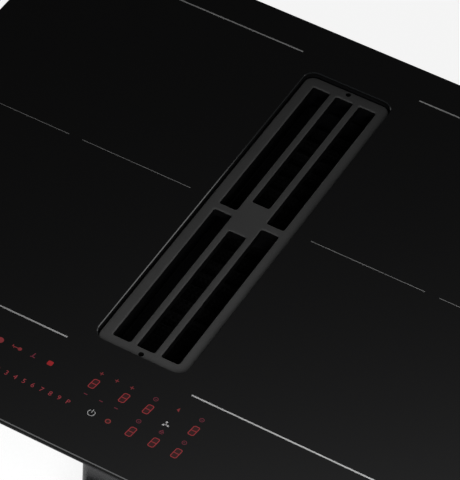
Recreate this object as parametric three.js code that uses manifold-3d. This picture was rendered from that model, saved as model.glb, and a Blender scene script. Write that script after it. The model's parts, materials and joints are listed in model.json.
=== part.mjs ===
// A 60 cm induction hob with a downdraft extractor in its middle. Sizes in millimetres.
// +X is right, +Y is back, +Z is up. The origin lies on the base plane, under the middle of the glass.
import * as THREE from 'three';
import { mergeVertices } from 'three/addons/utils/BufferGeometryUtils.js';
import Module from 'manifold-3d';

const wasm = await Module();
wasm.setup();

// ---------------------------------------------------------------- driving dimensions
const GAP = 0.3;                       // between pieces that touch
const TOP = 210;                       // glass surface above the base plane
const GLASS_WIDTH = 600;
const GLASS_DEPTH = 515;
const GLASS_THICK = 4;
const GLASS_CORNER = 4;
const GLASS_CHAMFER = 0.6;
const SEAT = TOP - GLASS_THICK;        // underside of the glass
const SEAL_WIDTH = 9;
const SEAL_THICK = 2;
const SEAL_INSET = 0.7;                // from the glass edge

const WELL_Y = 29;                     // middle of the intake, behind the middle of the glass
const CUTOUT_WIDTH = 81;
const CUTOUT_DEPTH = 352;
const CUTOUT_CORNER = 10;

const GRILLE_WIDTH = 79.2;
const GRILLE_DEPTH = 350.4;
const GRILLE_THICK = 9;
const GRILLE_DROP = 4.4;               // its top lies this far under the glass surface
const GRILLE_CORNER = 9;
const GRILLE_EDGE = 1.2;               // rounding of the cast edges
const SLOT_WIDTH = 16;
const SLOT_PITCH = 21.8;
const SLOT_END = 164.2;                // slot ends from the grille's middle
const CROSSBAR_HALF = 3.6;
const PAD_HALF = 18.7;
const SLOT_CORNER = 1.6;
const FINGER_HOLE = 4.6;               // two small round holes near the grille's ends
const FINGER_HOLE_Y = 170.7;
const GRILLE_TOP = TOP - GRILLE_DROP;
const LEDGE = GRILLE_TOP - GRILLE_THICK;

const THROAT_WIDTH = 70;
const THROAT_DEPTH = 341;
const THROAT_CORNER = 6;
const COLLAR_BOTTOM = 190;
const LINER_BOTTOM = 142;
const LINER_WALL = 3;
const FILTER_SEAT = 146;
const FILTER_WIDTH = 66;
const FILTER_DEPTH = 336;
const FILTER_HEIGHT = 34;
const PLEATS = 20;

const CASING_WIDTH = 556;
const CASING_DEPTH = 478;
const CASING_FLOOR = 158;              // underside of the sheet-steel tray
const SHEET = 1.2;
const SLOPE_TOP = 182;                 // the front wall leans back from here down to the floor
const SLOPE_BACK = 18;

const ZONE_X = 165;                    // middle of each cooking zone from the middle of the hob
const ZONE_PITCH = 190.8;
const ZONE_MID_Y = 30.4;               // line between the front and back zones
const COIL_RADIUS = 96;
const COIL_SQUASH = 0.93;              // the windings are slightly oval
const COIL_INNER = 26;
const COIL_TURNS = 4;
const COIL_TOP = 204.4;
const COIL_THICK = 4;
const CARRIER_THICK = 7;
const CARRIER_BOTTOM = COIL_TOP - COIL_THICK - CARRIER_THICK - GAP;
const FERRITES = 6;                    // bars under each winding
const DECK_TOP = 189;
const BOARD_Y = -40;                   // middle of each power board
const BOARD_Z = CASING_FLOOR + 8;

const PLENUM_WIDTH = 92;
const PLENUM_DEPTH = 364;
const PLENUM_TOP = 152;
const WALL = 2.5;                      // moulded housings
const TRAY_HEIGHT = 27;
const TRAY_CLEAR = 0.8;

const BLOWER_X = 155;
const BLOWER_Y = -25;
const SCROLL_TOP = 105;
const SCROLL_START = 88;               // volute radius at the tongue
const SCROLL_END = 120.5;              // and where the duct begins
const TONGUE_DEG = 60;
const OUTLET_Y = 198;
const OUTLET_WIDTH = 222;
const OUTLET_HEIGHT = 89;
const OUTLET_X = 164.5;
const OUTLET_Z = 54;
const OUTLET_REACH = 42;
const EYE_RADIUS = 60;
const COVER_THICK = 3;
const HOOD_TOP = 152;
const HOOD_RADIUS = 95;
const IMPELLER_RADIUS = 80;
const IMPELLER_BLADES = 28;
const IMPELLER_BOTTOM = 12;
const IMPELLER_TOP = 88;
const CUP_RADIUS = 38;                 // the wheel's hub cup, over the motor
const HUB_BORE = 4.3;
const SHAFT_RADIUS = 4;
const MOTOR_SEAT = 5;

const FAN_SIZE = 70;
const FAN_THICK = 18;
const FAN_X = 205;
const FAN_Y = -184;
const FAN_BLADES = 7;

const TERMINAL_X = -222;
const TERMINAL_Y = 187;
const TERMINAL_WIDTH = 84;
const TERMINAL_DEPTH = 74;
const TERMINAL_HEIGHT = 32;
const GLAND_Z = 15;                    // above the box's floor
const DRIVER_X = -110;
const DRIVER_Y = -20;
const DRIVER_HEIGHT = 38;
const CLAMP_Y = 150;
const WORKTOP_THICK = 38;

// ---------------------------------------------------------------- finishes
const finish = (color, roughness, metalness) =>
  new THREE.MeshStandardMaterial({ color, roughness, metalness });
const CERAMIC = finish(0x08080a, 0.08, 0);
const CAST_IRON = finish(0x2a2b2d, 0.55, 0.3);
const ALUMINIUM = finish(0xa9abae, 0.4, 1);
const STEEL = finish(0x9b9ea2, 0.45, 1);
const POLYMER = finish(0x1c1d1f, 0.6, 0);
const FOAM = finish(0x303134, 0.95, 0);
const MICA = finish(0xb8a98a, 0.8, 0);
const COPPER = finish(0xa5623a, 0.45, 1);
const LAMINATE = finish(0x1f5a3a, 0.6, 0);

// ---------------------------------------------------------------- solids
function solid(geometry) {
  const bare = geometry.index ? geometry.toNonIndexed() : geometry.clone();
  bare.deleteAttribute('normal');
  bare.deleteAttribute('uv');
  const merged = mergeVertices(bare, 1e-4);
  const corners = merged.index.array;
  const triVerts = [];
  for (let i = 0; i < corners.length; i += 3) {
    const [a, b, c] = corners.slice(i, i + 3);
    // Faces at the pole of a turned piece collapse to a line.
    if (a !== b && b !== c && a !== c) triVerts.push(a, b, c);
  }
  return new wasm.Manifold(new wasm.Mesh({
    numProp: 3,
    vertProperties: merged.attributes.position.array,
    triVerts: new Uint32Array(triVerts),
  }));
}

function geometryOf(body) {
  const mesh = body.getMesh();
  const geometry = new THREE.BufferGeometry();
  const points = new THREE.BufferAttribute(new Float32Array(mesh.vertProperties), 3);
  geometry.setAttribute('position', points);
  geometry.setIndex(new THREE.BufferAttribute(new Uint32Array(mesh.triVerts), 1));
  return geometry;
}

const join = (first, ...rest) => rest.reduce((all, piece) => all.add(piece), first);
const cut = (first, ...rest) => rest.reduce((all, piece) => all.subtract(piece), first);

// A block between two corners.
function block(x0, x1, y0, y1, z0, z1) {
  const geometry = new THREE.BoxGeometry(x1 - x0, y1 - y0, z1 - z0);
  return solid(geometry.translate((x0 + x1) / 2, (y0 + y1) / 2, (z0 + z1) / 2));
}

// Arcs are laid out as points, so that an outline never ends on a copy of its first point.
function arcPoints(x, y, radius, fromDeg, toDeg, steps) {
  const points = [];
  for (let i = 0; i <= steps; i += 1) {
    const angle = THREE.MathUtils.degToRad(fromDeg + ((toDeg - fromDeg) * i) / steps);
    points.push(new THREE.Vector2(x + radius * Math.cos(angle), y + radius * Math.sin(angle)));
  }
  return points;
}

function roundedRect(width, depth, corner, x = 0, y = 0, steps = 3) {
  const w = width / 2 - corner;
  const d = depth / 2 - corner;
  return new THREE.Shape([
    ...arcPoints(x + w, y - d, corner, -90, 0, steps),
    ...arcPoints(x + w, y + d, corner, 0, 90, steps),
    ...arcPoints(x - w, y + d, corner, 90, 180, steps),
    ...arcPoints(x - w, y - d, corner, 180, 270, steps),
  ]);
}

const circle = (radius, x, y, sides) =>
  new THREE.Shape(arcPoints(x, y, radius, 0, 360 - 360 / sides, sides - 1));

function prism(shape, z0, z1) {
  const options = { depth: z1 - z0, bevelEnabled: false };
  return solid(new THREE.ExtrudeGeometry(shape, options).translate(0, 0, z0));
}

// A prism whose top and bottom edges are drawn in by the edge size, flat or rounded.
function edgedPrism(shape, z0, z1, edge, bevelSegments) {
  const geometry = new THREE.ExtrudeGeometry(shape, {
    depth: z1 - z0 - 2 * edge,
    bevelThickness: edge,
    bevelSize: edge,
    bevelOffset: -edge,
    bevelSegments,
  });
  return solid(geometry.translate(0, 0, z0 + edge));
}

function drum(radius, z0, z1, x = 0, y = 0, sides = 24) {
  const geometry = new THREE.CylinderGeometry(radius, radius, z1 - z0, sides);
  return solid(geometry.rotateX(Math.PI / 2).translate(x, y, (z0 + z1) / 2));
}

// A turned piece about Z. Its profile of [radius, z] pairs runs from axis to axis or closes on itself.
function turned(profile, sides = 24) {
  const closed = profile[0][0] === 0 ? profile : [...profile, profile[0]];
  const points = closed.map(([r, z]) => new THREE.Vector2(r, z));
  return solid(new THREE.LatheGeometry(points, sides).rotateX(Math.PI / 2));
}

const part = new THREE.Group();

function place(name, body, material, parent = part) {
  const mesh = new THREE.Mesh(geometryOf(body), material.clone());
  mesh.name = name;
  parent.add(mesh);
  return mesh;
}

function station(x, y, z, parent = part) {
  const group = new THREE.Group();
  group.position.set(x, y, z);
  parent.add(group);
  return group;
}

const SIDES = [['left', -1], ['right', 1]];
const ENDS = [['front', -1], ['back', 1]];

// ---------------------------------------------------------------- glass and its seal
const around = (width, depth, extra, corner, steps = 3) =>
  roundedRect(width + extra, depth + extra, corner, 0, 0, steps);

function ringPrism(outer, inner, z0, z1) {
  outer.holes.push(inner);
  return prism(outer, z0, z1);
}

function glassTop() {
  const shape = roundedRect(GLASS_WIDTH, GLASS_DEPTH, GLASS_CORNER);
  shape.holes.push(roundedRect(CUTOUT_WIDTH, CUTOUT_DEPTH, CUTOUT_CORNER, 0, WELL_Y, 6));
  return edgedPrism(shape, SEAT, TOP, GLASS_CHAMFER, 1);
}

function worktopSeal() {
  const outer = around(GLASS_WIDTH, GLASS_DEPTH, -2 * SEAL_INSET, 3);
  const inner = around(GLASS_WIDTH, GLASS_DEPTH, -2 * (SEAL_INSET + SEAL_WIDTH), 2);
  return ringPrism(outer, inner, SEAT - SEAL_THICK, SEAT);
}

// ---------------------------------------------------------------- intake: collar, grille, liner
// A cast frame glued under the glass. Its ledge carries the grille, its wall stands inside the cut-out.
function intakeCollar() {
  const flangeThick = 3;
  const flangeReach = 34;
  const wall = 10;
  const clearance = 1.5;
  const at = (extra, corner) => around(CUTOUT_WIDTH, CUTOUT_DEPTH, extra, corner);
  const flange = prism(at(flangeReach, 14), SEAT - flangeThick, SEAT);
  const body = prism(at(wall, 12), COLLAR_BOTTOM, SEAT - flangeThick);
  const recess = prism(at(clearance, CUTOUT_CORNER), LEDGE, TOP);
  const throat = prism(around(THROAT_WIDTH, THROAT_DEPTH, 0, THROAT_CORNER), COLLAR_BOTTOM - 1, TOP);
  return cut(join(flange, body), recess, throat);
}

// The slots stand in three columns and two banks. The middle ones stop short of the centre pad.
function grilleSlots() {
  const slots = [];
  for (const column of [-1, 0, 1]) {
    const near = column === 0 ? PAD_HALF : CROSSBAR_HALF;
    const length = SLOT_END - near;
    for (const bank of [-1, 1]) {
      const middle = bank * (near + length / 2);
      slots.push(roundedRect(SLOT_WIDTH, length, SLOT_CORNER, column * SLOT_PITCH, middle, 2));
    }
  }
  return slots;
}

// Four lugs under the casting centre it in the throat.
function grilleLugs() {
  const outer = THROAT_WIDTH / 2 - 1.5;
  const thick = 2.5;
  const half = 7;
  const drop = 3.5;
  const fromMiddle = 150;
  const lugs = [];
  for (const side of [-1, 1]) {
    for (const end of [-1, 1]) {
      const x = side * (outer - thick / 2);
      const y = end * fromMiddle;
      lugs.push(block(x - thick / 2, x + thick / 2, y - half, y + half, LEDGE - drop, LEDGE + 2));
    }
  }
  return lugs;
}

function intakeGrille() {
  const shape = roundedRect(GRILLE_WIDTH, GRILLE_DEPTH, GRILLE_CORNER, 0, 0, 5);
  shape.holes.push(...grilleSlots());
  const holes = [-1, 1].map((end) =>
    drum(FINGER_HOLE / 2, LEDGE - 1, TOP, 0, end * FINGER_HOLE_Y, 12));
  const cast = edgedPrism(shape, LEDGE, GRILLE_TOP, GRILLE_EDGE, 2);
  return join(cut(cast, ...holes), ...grilleLugs());
}

// A moulded throat with a flange at its top and a ledge for the filter at its bottom.
function wellLiner() {
  const flangeThick = 4;
  const flangeReach = 26;
  const ledge = 12;
  const at = (extra, corner) => around(THROAT_WIDTH, THROAT_DEPTH, extra, corner);
  const flange = prism(at(flangeReach, 12), COLLAR_BOTTOM - flangeThick, COLLAR_BOTTOM);
  const tube = prism(at(2 * LINER_WALL, 8), LINER_BOTTOM, COLLAR_BOTTOM - flangeThick);
  const bore = prism(at(0, THROAT_CORNER), FILTER_SEAT, COLLAR_BOTTOM + 1);
  const mouth = prism(at(-ledge, 5), LINER_BOTTOM - 1, FILTER_SEAT + 1);
  return cut(join(flange, tube), bore, mouth);
}

// ---------------------------------------------------------------- grease filter
const FILTER_RAIL = 1.6;

// The zigzag and the tray's basin are drawn in the YZ plane: the drawing's X and Y become Y and Z,
// and its depth runs along X.
function acrossX(shape, width, z = 0) {
  const band = new THREE.ExtrudeGeometry(shape, { depth: width, bevelEnabled: false });
  const turn = new THREE.Matrix4().set(0, 0, 1, -width / 2, 1, 0, 0, 0, 0, 1, 0, z, 0, 0, 0, 1);
  return solid(band.applyMatrix4(turn));
}

function filterFrame() {
  const lip = 6;
  const lipThick = 2;
  const ribHigh = 4;
  const at = (inset, corner) => around(FILTER_WIDTH, FILTER_DEPTH, -2 * inset, corner);
  const tub = ringPrism(at(0, 4), at(FILTER_RAIL, 3), FILTER_SEAT, FILTER_SEAT + FILTER_HEIGHT);
  const foot = ringPrism(at(0, 4), at(lip, 3), FILTER_SEAT, FILTER_SEAT + lipThick);
  const half = FILTER_WIDTH / 2 - 1;
  const ribs = [-1, 0, 1].map((step) => {
    const y = (step * FILTER_DEPTH) / 4;
    return block(-half, half, y - 1, y + 1, FILTER_SEAT, FILTER_SEAT + ribHigh);
  });
  return join(tub, foot, ...ribs);
}

// The mesh pack is folded in pleats along the cassette, so its side view is a zigzag band.
function filterMesh() {
  const length = FILTER_DEPTH - 2 * FILTER_RAIL - 7;
  const low = 4 + GAP;
  const high = 21;
  const thick = 2.4;
  const lower = [];
  const upper = [];
  for (let i = 0; i <= 2 * PLEATS; i += 1) {
    const y = -length / 2 + (length * i) / (2 * PLEATS);
    const z = i % 2 ? high : low;
    lower.push(new THREE.Vector2(y, z));
    upper.unshift(new THREE.Vector2(y, z + thick));
  }
  const width = FILTER_WIDTH - 2 * FILTER_RAIL - 2 * GAP;
  return acrossX(new THREE.Shape([...lower, ...upper]), width, FILTER_SEAT);
}

// A bent spring-steel strap that arches over the mesh for two fingers.
function filterHandle() {
  const half = FILTER_WIDTH / 2 - FILTER_RAIL - GAP;
  const foot = FILTER_SEAT + 27;
  const crown = FILTER_SEAT + 42;
  const bend = 10;
  const drop = 8;
  const thick = 2;
  const strapWidth = 16;
  const arch = new THREE.Shape();
  arch.moveTo(-half, foot);
  arch.lineTo(-half, crown - drop);
  arch.quadraticCurveTo(-half, crown, -half + bend, crown);
  arch.lineTo(half - bend, crown);
  arch.quadraticCurveTo(half, crown, half, crown - drop);
  arch.lineTo(half, foot);
  arch.lineTo(half - thick, foot);
  arch.lineTo(half - thick, crown - drop);
  arch.quadraticCurveTo(half - thick, crown - thick, half - bend, crown - thick);
  arch.lineTo(-half + bend, crown - thick);
  arch.quadraticCurveTo(-half + thick, crown - thick, -half + thick, crown - drop);
  arch.lineTo(-half + thick, foot);
  const strap = new THREE.ExtrudeGeometry(arch, { depth: strapWidth, bevelEnabled: false, curveSegments: 4 });
  return solid(strap.rotateX(Math.PI / 2).translate(0, strapWidth / 2, 0));
}

// ---------------------------------------------------------------- base casing
// A row of slots cut down through the floor.
function floorVents(x, y, count, pitch, length) {
  const half = 2;
  const slots = [];
  for (let i = 0; i < count; i += 1) {
    const middle = x + (i - (count - 1) / 2) * pitch;
    const [y0, y1] = [y - length / 2, y + length / 2];
    slots.push(block(middle - half, middle + half, y0, y1, CASING_FLOOR - 1, CASING_FLOOR + 4));
  }
  return slots;
}

// Louvres in the sloping front, where the cooling air leaves.
function frontVents(side) {
  const front = -CASING_DEPTH / 2;
  const vents = [];
  for (let i = 0; i < 4; i += 1) {
    const x = side * (70 + i * 20);
    const z = CASING_FLOOR + 7;
    vents.push(block(x - 6, x + 6, front - 2, front + SLOPE_BACK, z, z + 12));
  }
  return vents;
}

// All that lies in front of the slope, when the slope is moved back by a sheet's thickness or none.
function beforeSlope(thick) {
  const front = -CASING_DEPTH / 2;
  const high = SLOPE_TOP - CASING_FLOOR;
  const line = front + (thick * Math.hypot(high, SLOPE_BACK)) / high;
  const profile = new THREE.Shape();
  profile.moveTo(line - SLOPE_BACK / 2, SLOPE_TOP + high / 2);
  profile.lineTo(front - SLOPE_BACK, SLOPE_TOP + high / 2);
  profile.lineTo(front - SLOPE_BACK, SLOPE_TOP - high * 2);
  profile.lineTo(line + SLOPE_BACK * 2, SLOPE_TOP - high * 2);
  const wedge = new THREE.ExtrudeGeometry(profile, { depth: CASING_WIDTH + 10, bevelEnabled: false });
  wedge.rotateX(Math.PI / 2).rotateZ(Math.PI / 2);
  return solid(wedge.translate(-CASING_WIDTH / 2 - 5, 0, 0));
}

// A folded tray whose rim is turned in and glued to the glass, and whose front leans back to clear a drawer.
function baseCasing() {
  const rim = 12;
  const at = (inset, corner) => around(CASING_WIDTH, CASING_DEPTH, -2 * inset, corner);
  const outer = cut(prism(at(0, 5), CASING_FLOOR, SEAT), beforeSlope(0));
  const hollow = cut(prism(at(SHEET, 4), CASING_FLOOR + SHEET, SEAT - SHEET), beforeSlope(SHEET));
  const mouth = prism(at(rim, 4), SEAT - 2 * SHEET, SEAT + 1);
  const throat = around(THROAT_WIDTH, THROAT_DEPTH, 10, 9);
  const aperture = prism(throat, CASING_FLOOR - 1, CASING_FLOOR + 4).translate([0, WELL_Y, 0]);
  const cableWay = drum(9, CASING_FLOOR - 1, CASING_FLOOR + 4, TERMINAL_X, TERMINAL_Y, 16);
  const vents = [-1, 1].flatMap((side) => [
    ...floorVents(side * FAN_X, FAN_Y, 4, 12, 50),
    ...floorVents(side * ZONE_X, 205, 4, 18, 30),
    ...frontVents(side),
  ]);
  return cut(outer, hollow, mouth, aperture, cableWay, ...vents);
}

// ---------------------------------------------------------------- coils
// The litz wire lies in grooved turns. Each ring of the profile is a crown and a groove.
function winding() {
  const pitch = (COIL_RADIUS - COIL_INNER) / COIL_TURNS;
  const groove = COIL_THICK - 1.2;
  const profile = [[COIL_INNER, 0], [COIL_RADIUS, 0]];
  for (let i = COIL_TURNS; i > 0; i -= 1) {
    const outer = COIL_INNER + i * pitch;
    profile.push([outer, groove]);
    profile.push([outer - pitch / 2, COIL_THICK]);
  }
  profile.push([COIL_INNER, groove]);
  return turned(profile, 16).scale([1, COIL_SQUASH, 1]);
}

// A moulded dish with a ferrite bar under each spoke.
function coilCarrier() {
  const dishThick = 2.5;
  const barLength = 60;
  const barWidth = 14;
  const barMiddle = 55;
  const plate = circle(COIL_RADIUS, 0, 0, 16);
  plate.holes.push(circle(6, 0, 0, 8));
  const dish = prism(plate, CARRIER_THICK - dishThick, CARRIER_THICK).scale([1, COIL_SQUASH, 1]);
  const bars = [];
  for (let i = 0; i < FERRITES; i += 1) {
    const bar = new THREE.BoxGeometry(barLength, barWidth, CARRIER_THICK - 2);
    bar.translate(barMiddle, 0, CARRIER_THICK / 2 - 1);
    bars.push(solid(bar.rotateZ(((i + 0.5) * Math.PI * 2) / FERRITES).scale(1, COIL_SQUASH, 1)));
  }
  return join(dish, ...bars);
}

// Its flange hangs under the carrier and its head touches the glass.
function coilSensor() {
  return turned([[0, 1.4], [9, 1.4], [9, 4.2], [5, 4.2], [5, 10], [7, 12.5], [0, 12.5]], 8);
}

function insulationSheet(side) {
  const shape = roundedRect(200, 386, 10, side * (ZONE_X - 1), ZONE_MID_Y);
  for (const end of [-1, 1]) {
    shape.holes.push(circle(9, side * ZONE_X, ZONE_MID_Y + (end * ZONE_PITCH) / 2, 12));
  }
  return prism(shape, COIL_TOP + GAP, SEAT - GAP);
}

// Folded deck on four legs, with three spring tabs pressing up under each coil carrier.
function coilDeck(side) {
  const inner = 63;
  const outer = 266;
  const half = 190;
  const legWidth = 8;
  const tabRadius = 60;
  const [x0, x1] = side > 0 ? [inner, outer] : [-outer, -inner];
  const [y0, y1] = [ZONE_MID_Y - half, ZONE_MID_Y + half];
  const pieces = [block(x0, x1, y0, y1, DECK_TOP - SHEET, DECK_TOP)];
  for (const x of [x0, x1 - legWidth]) {
    for (const y of [y0, y1 - legWidth]) {
      pieces.push(block(x, x + legWidth, y, y + legWidth, CASING_FLOOR + SHEET, DECK_TOP - SHEET / 2));
    }
  }
  for (const end of [-1, 1]) {
    const coilY = ZONE_MID_Y + (end * ZONE_PITCH) / 2;
    for (let i = 0; i < 3; i += 1) {
      const angle = Math.PI / 2 + (i * Math.PI * 2) / 3;
      const x = side * ZONE_X + tabRadius * Math.cos(angle);
      const y = coilY + tabRadius * Math.sin(angle);
      pieces.push(block(x - 8, x + 8, y - 5, y + 5, DECK_TOP - SHEET / 2, CARRIER_BOTTOM - GAP));
    }
  }
  const [cx, cy] = [side * ZONE_X, ZONE_MID_Y];
  const wireWay = block(cx - 30, cx + 30, cy - 12, cy + 12, DECK_TOP - 5, DECK_TOP + 5);
  return cut(join(...pieces), wireWay);
}

// ---------------------------------------------------------------- electronics in the casing
const BOARD_THICK = 1.6;

// A bare board on four posts that stand on the casing floor.
function boardOnPosts(halfWidth, halfDepth) {
  const inset = 8;
  const posts = [];
  for (const x of [-halfWidth + inset, halfWidth - inset]) {
    for (const y of [-halfDepth + inset, halfDepth - inset]) {
      posts.push(drum(3, CASING_FLOOR + SHEET - BOARD_Z, 0.5, x, y, 6));
    }
  }
  return join(block(-halfWidth, halfWidth, -halfDepth, halfDepth, 0, BOARD_THICK), ...posts);
}

// The inverter: a row of foil capacitors, a bus capacitor, a choke and two gate drivers.
function powerBoard() {
  const capacitors = [-70, -44, -18].map((x) => drum(11, 1, 19, x, 60, 8));
  const drivers = [12, 40].map((x) => block(x, x + 20, 72, 96, 1, 13));
  const bus = block(-85, -60, -20, 20, 1, 16);
  const relay = block(-50, -30, -16, 16, 1, 14);
  const choke = drum(15, 1, 14, -64, -62, 12);
  return join(boardOnPosts(90, 105), ...capacitors, ...drivers, bus, relay, choke);
}

// Extruded comb: a base with a row of fins.
function heatSink() {
  const fins = 9;
  const pitch = 7;
  const thick = 2;
  const base = 3;
  const high = 16;
  const length = 130;
  const comb = new THREE.Shape();
  comb.moveTo(0, 0);
  comb.lineTo((fins - 1) * pitch + thick, 0);
  for (let i = fins - 1; i >= 0; i -= 1) {
    comb.lineTo(i * pitch + thick, high);
    comb.lineTo(i * pitch, high);
    if (i > 0) {
      comb.lineTo(i * pitch, base);
      comb.lineTo((i - 1) * pitch + thick, base);
    }
  }
  const bar = new THREE.ExtrudeGeometry(comb, { depth: length, bevelEnabled: false });
  return solid(bar.rotateX(Math.PI / 2).translate(0, length / 2, 0));
}

// Where the mains comes in: a toroid choke, two film capacitors, a relay and a varistor.
function mainsFilterBoard() {
  const choke = turned([[6, 1], [18, 1], [18, 13], [6, 13]], 12).translate([-40, 8, 0]);
  const films = [block(-8, 12, -24, 22, 1, 17), block(24, 38, -24, 10, 1, 15)];
  const relay = block(46, 70, -30, 30, 1, 11);
  const varistor = drum(7, 1, 16, -50, -26, 8);
  return join(boardOnPosts(75, 40), choke, ...films, relay, varistor);
}

// Square frame with a round bore and a hub on three struts.
function fanFrame() {
  const half = FAN_SIZE / 2;
  const holeFrom = half - 5.5;
  const strutLength = half - 8;
  const strutThick = 2;
  const frame = roundedRect(FAN_SIZE, FAN_SIZE, 5);
  frame.holes.push(circle(half - 2.5, 0, 0, 18));
  const struts = [drum(13, 0, strutThick, 0, 0, 12)];
  for (let i = 0; i < 3; i += 1) {
    const strut = new THREE.BoxGeometry(strutLength, 3, strutThick);
    strut.translate(half / 2 + 5, 0, strutThick / 2);
    struts.push(solid(strut.rotateZ((i * Math.PI * 2) / 3)));
  }
  const screwHoles = [];
  for (const x of [-holeFrom, holeFrom]) {
    for (const y of [-holeFrom, holeFrom]) {
      screwHoles.push(drum(2.2, -1, FAN_THICK + 1, x, y, 6));
    }
  }
  return cut(join(prism(frame, 0, FAN_THICK), ...struts), ...screwHoles);
}

// Each blade is a flat strip whose pitch falls from the hub to the tip.
function fanRotor() {
  const hubRadius = 12.5;
  const hubLow = 2.6;
  const span = 19.5;
  const chord = 15;
  const thick = 1.4;
  const rootPitch = 62;
  const tipPitch = 38;
  const blades = [];
  for (let i = 0; i < FAN_BLADES; i += 1) {
    const strip = new THREE.BoxGeometry(span, thick, chord);
    const at = strip.attributes.position;
    for (let v = 0; v < at.count; v += 1) {
      const out = at.getX(v) / span + 0.5;
      const pitch = THREE.MathUtils.degToRad(rootPitch + (tipPitch - rootPitch) * out);
      const [y, z] = [at.getY(v), at.getZ(v)];
      at.setY(v, y * Math.cos(pitch) - z * Math.sin(pitch));
      at.setZ(v, y * Math.sin(pitch) + z * Math.cos(pitch));
    }
    strip.translate(hubRadius - 1 + span / 2, 0, FAN_THICK / 2 + 0.8);
    blades.push(solid(strip.rotateZ((i * Math.PI * 2) / FAN_BLADES)));
  }
  return join(drum(hubRadius, hubLow, FAN_THICK - 1, 0, 0, 14), ...blades);
}

// ---------------------------------------------------------------- touch controls
const CONTROL_X = -20;
const CONTROL_Y = -196;
const CONTROL_HALF_WIDTH = 112;
const CONTROL_HALF_DEPTH = 28.5;
const CONTROL_BOARD_LOW = 198;
const DIGIT_ROW_BACK = -190;
const DIGIT_ROW_FRONT = -215.7;
const DISPLAYS = [
  [-15, DIGIT_ROW_BACK],
  [12, DIGIT_ROW_BACK],
  [33, DIGIT_ROW_BACK],
  [73, DIGIT_ROW_BACK],
  [33, DIGIT_ROW_FRONT],
  [53, DIGIT_ROW_FRONT],
  [73, DIGIT_ROW_FRONT],
];
const DISPLAY_HALF_WIDTH = 6;
const DISPLAY_HALF_DEPTH = 7;
const DISPLAY_TOP = 203.2;

// A block round a point given by half sizes.
function blockAt(x, y, halfWidth, halfDepth, z0, z1) {
  return block(x - halfWidth, x + halfWidth, y - halfDepth, y + halfDepth, z0, z1);
}

function controlBoard() {
  const low = CONTROL_BOARD_LOW;
  const high = low + BOARD_THICK;
  const board = blockAt(CONTROL_X, CONTROL_Y, CONTROL_HALF_WIDTH, CONTROL_HALF_DEPTH, low, high);
  const digits = DISPLAYS.map(([x, y]) =>
    blockAt(x, y, DISPLAY_HALF_WIDTH, DISPLAY_HALF_DEPTH, high - 0.6, DISPLAY_TOP));
  const chip = blockAt(CONTROL_X - 40, CONTROL_Y, 10, 10, low - 2, low + 0.5);
  const socket = blockAt(CONTROL_X - 91, CONTROL_Y, 7, 8, low - 8, low + 0.5);
  return join(board, ...digits, chip, socket);
}

// The light guide keeps each display's light to its own window.
function controlCarrier() {
  const slab = blockAt(
    CONTROL_X, CONTROL_Y, CONTROL_HALF_WIDTH + 2, CONTROL_HALF_DEPTH + 1, CONTROL_BOARD_LOW + 2, SEAT - GAP,
  );
  const windows = DISPLAYS.map(([x, y]) =>
    blockAt(x, y, DISPLAY_HALF_WIDTH + 0.6, DISPLAY_HALF_DEPTH + 0.6, CONTROL_BOARD_LOW, SEAT + 1));
  return cut(slab, ...windows);
}

// ---------------------------------------------------------------- mains connection
function terminalBox() {
  const outer = prism(roundedRect(TERMINAL_WIDTH, TERMINAL_DEPTH, 5), 0, TERMINAL_HEIGHT);
  const hollow = around(TERMINAL_WIDTH, TERMINAL_DEPTH, -2 * WALL, 3);
  const inside = prism(hollow, WALL, TERMINAL_HEIGHT + 1);
  const entry = new THREE.CylinderGeometry(8, 8, 12, 16).translate(0, TERMINAL_DEPTH / 2, 0);
  const ribs = [-24, -8, 8, 24].map((x) => block(x - 1, x + 1, -34, -20, 1, 18));
  return cut(join(cut(outer, inside), ...ribs), solid(entry).translate([0, 0, GLAND_Z]));
}

// A clamping nut with a tapered nose, open right through for the lead.
function cableGland() {
  const nut = new THREE.LatheGeometry([
    [5, 0], [13, 0], [13, 6], [11, 6.5], [11, 12], [8, 17], [5.5, 17], [5, 16], [5, 0],
  ].map(([r, y]) => new THREE.Vector2(r, y)), 12);
  return solid(nut);
}

// ---------------------------------------------------------------- plenum, tray
const PLENUM_FLANGE = 20;
const PLENUM_FLANGE_THICK = 3;
const plenumFront = WELL_Y - PLENUM_DEPTH / 2;
const plenumBack = WELL_Y + PLENUM_DEPTH / 2;
const plenumOutline = (extra, corner) =>
  roundedRect(PLENUM_WIDTH + extra, PLENUM_DEPTH + extra, corner, 0, WELL_Y);

function plenumGasket() {
  return ringPrism(
    plenumOutline(PLENUM_FLANGE, 12), plenumOutline(-2, 8), PLENUM_TOP + PLENUM_FLANGE_THICK, CASING_FLOOR,
  );
}

// A deep moulded box with outside ribs, a window to the blower and a way for the tray in its foot.
function plenumHousing() {
  const half = PLENUM_WIDTH / 2;
  const high = PLENUM_TOP + PLENUM_FLANGE_THICK;
  const body = prism(plenumOutline(0, 8), 0, high);
  const flange = prism(plenumOutline(PLENUM_FLANGE, 12), PLENUM_TOP, high);
  const hollow = prism(plenumOutline(-2 * WALL, 6), WALL, high + 1);
  const ribs = [];
  for (let i = 0; i < 9; i += 1) {
    const y = plenumFront + 22 + i * 40;
    ribs.push(block(-half - 5, -half + 1, y - 1.2, y + 1.2, 34, PLENUM_TOP + 1));
  }
  const window = blockAt(half, BLOWER_Y, 6, HOOD_RADIUS - 7, SCROLL_TOP + 7, HOOD_TOP - 4);
  const drawerWay = blockAt(0, plenumFront + 1, half - 4, 5, WALL, WALL + TRAY_HEIGHT + 4);
  return cut(cut(join(body, flange, ...ribs), hollow), window, drawerWay);
}

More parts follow.
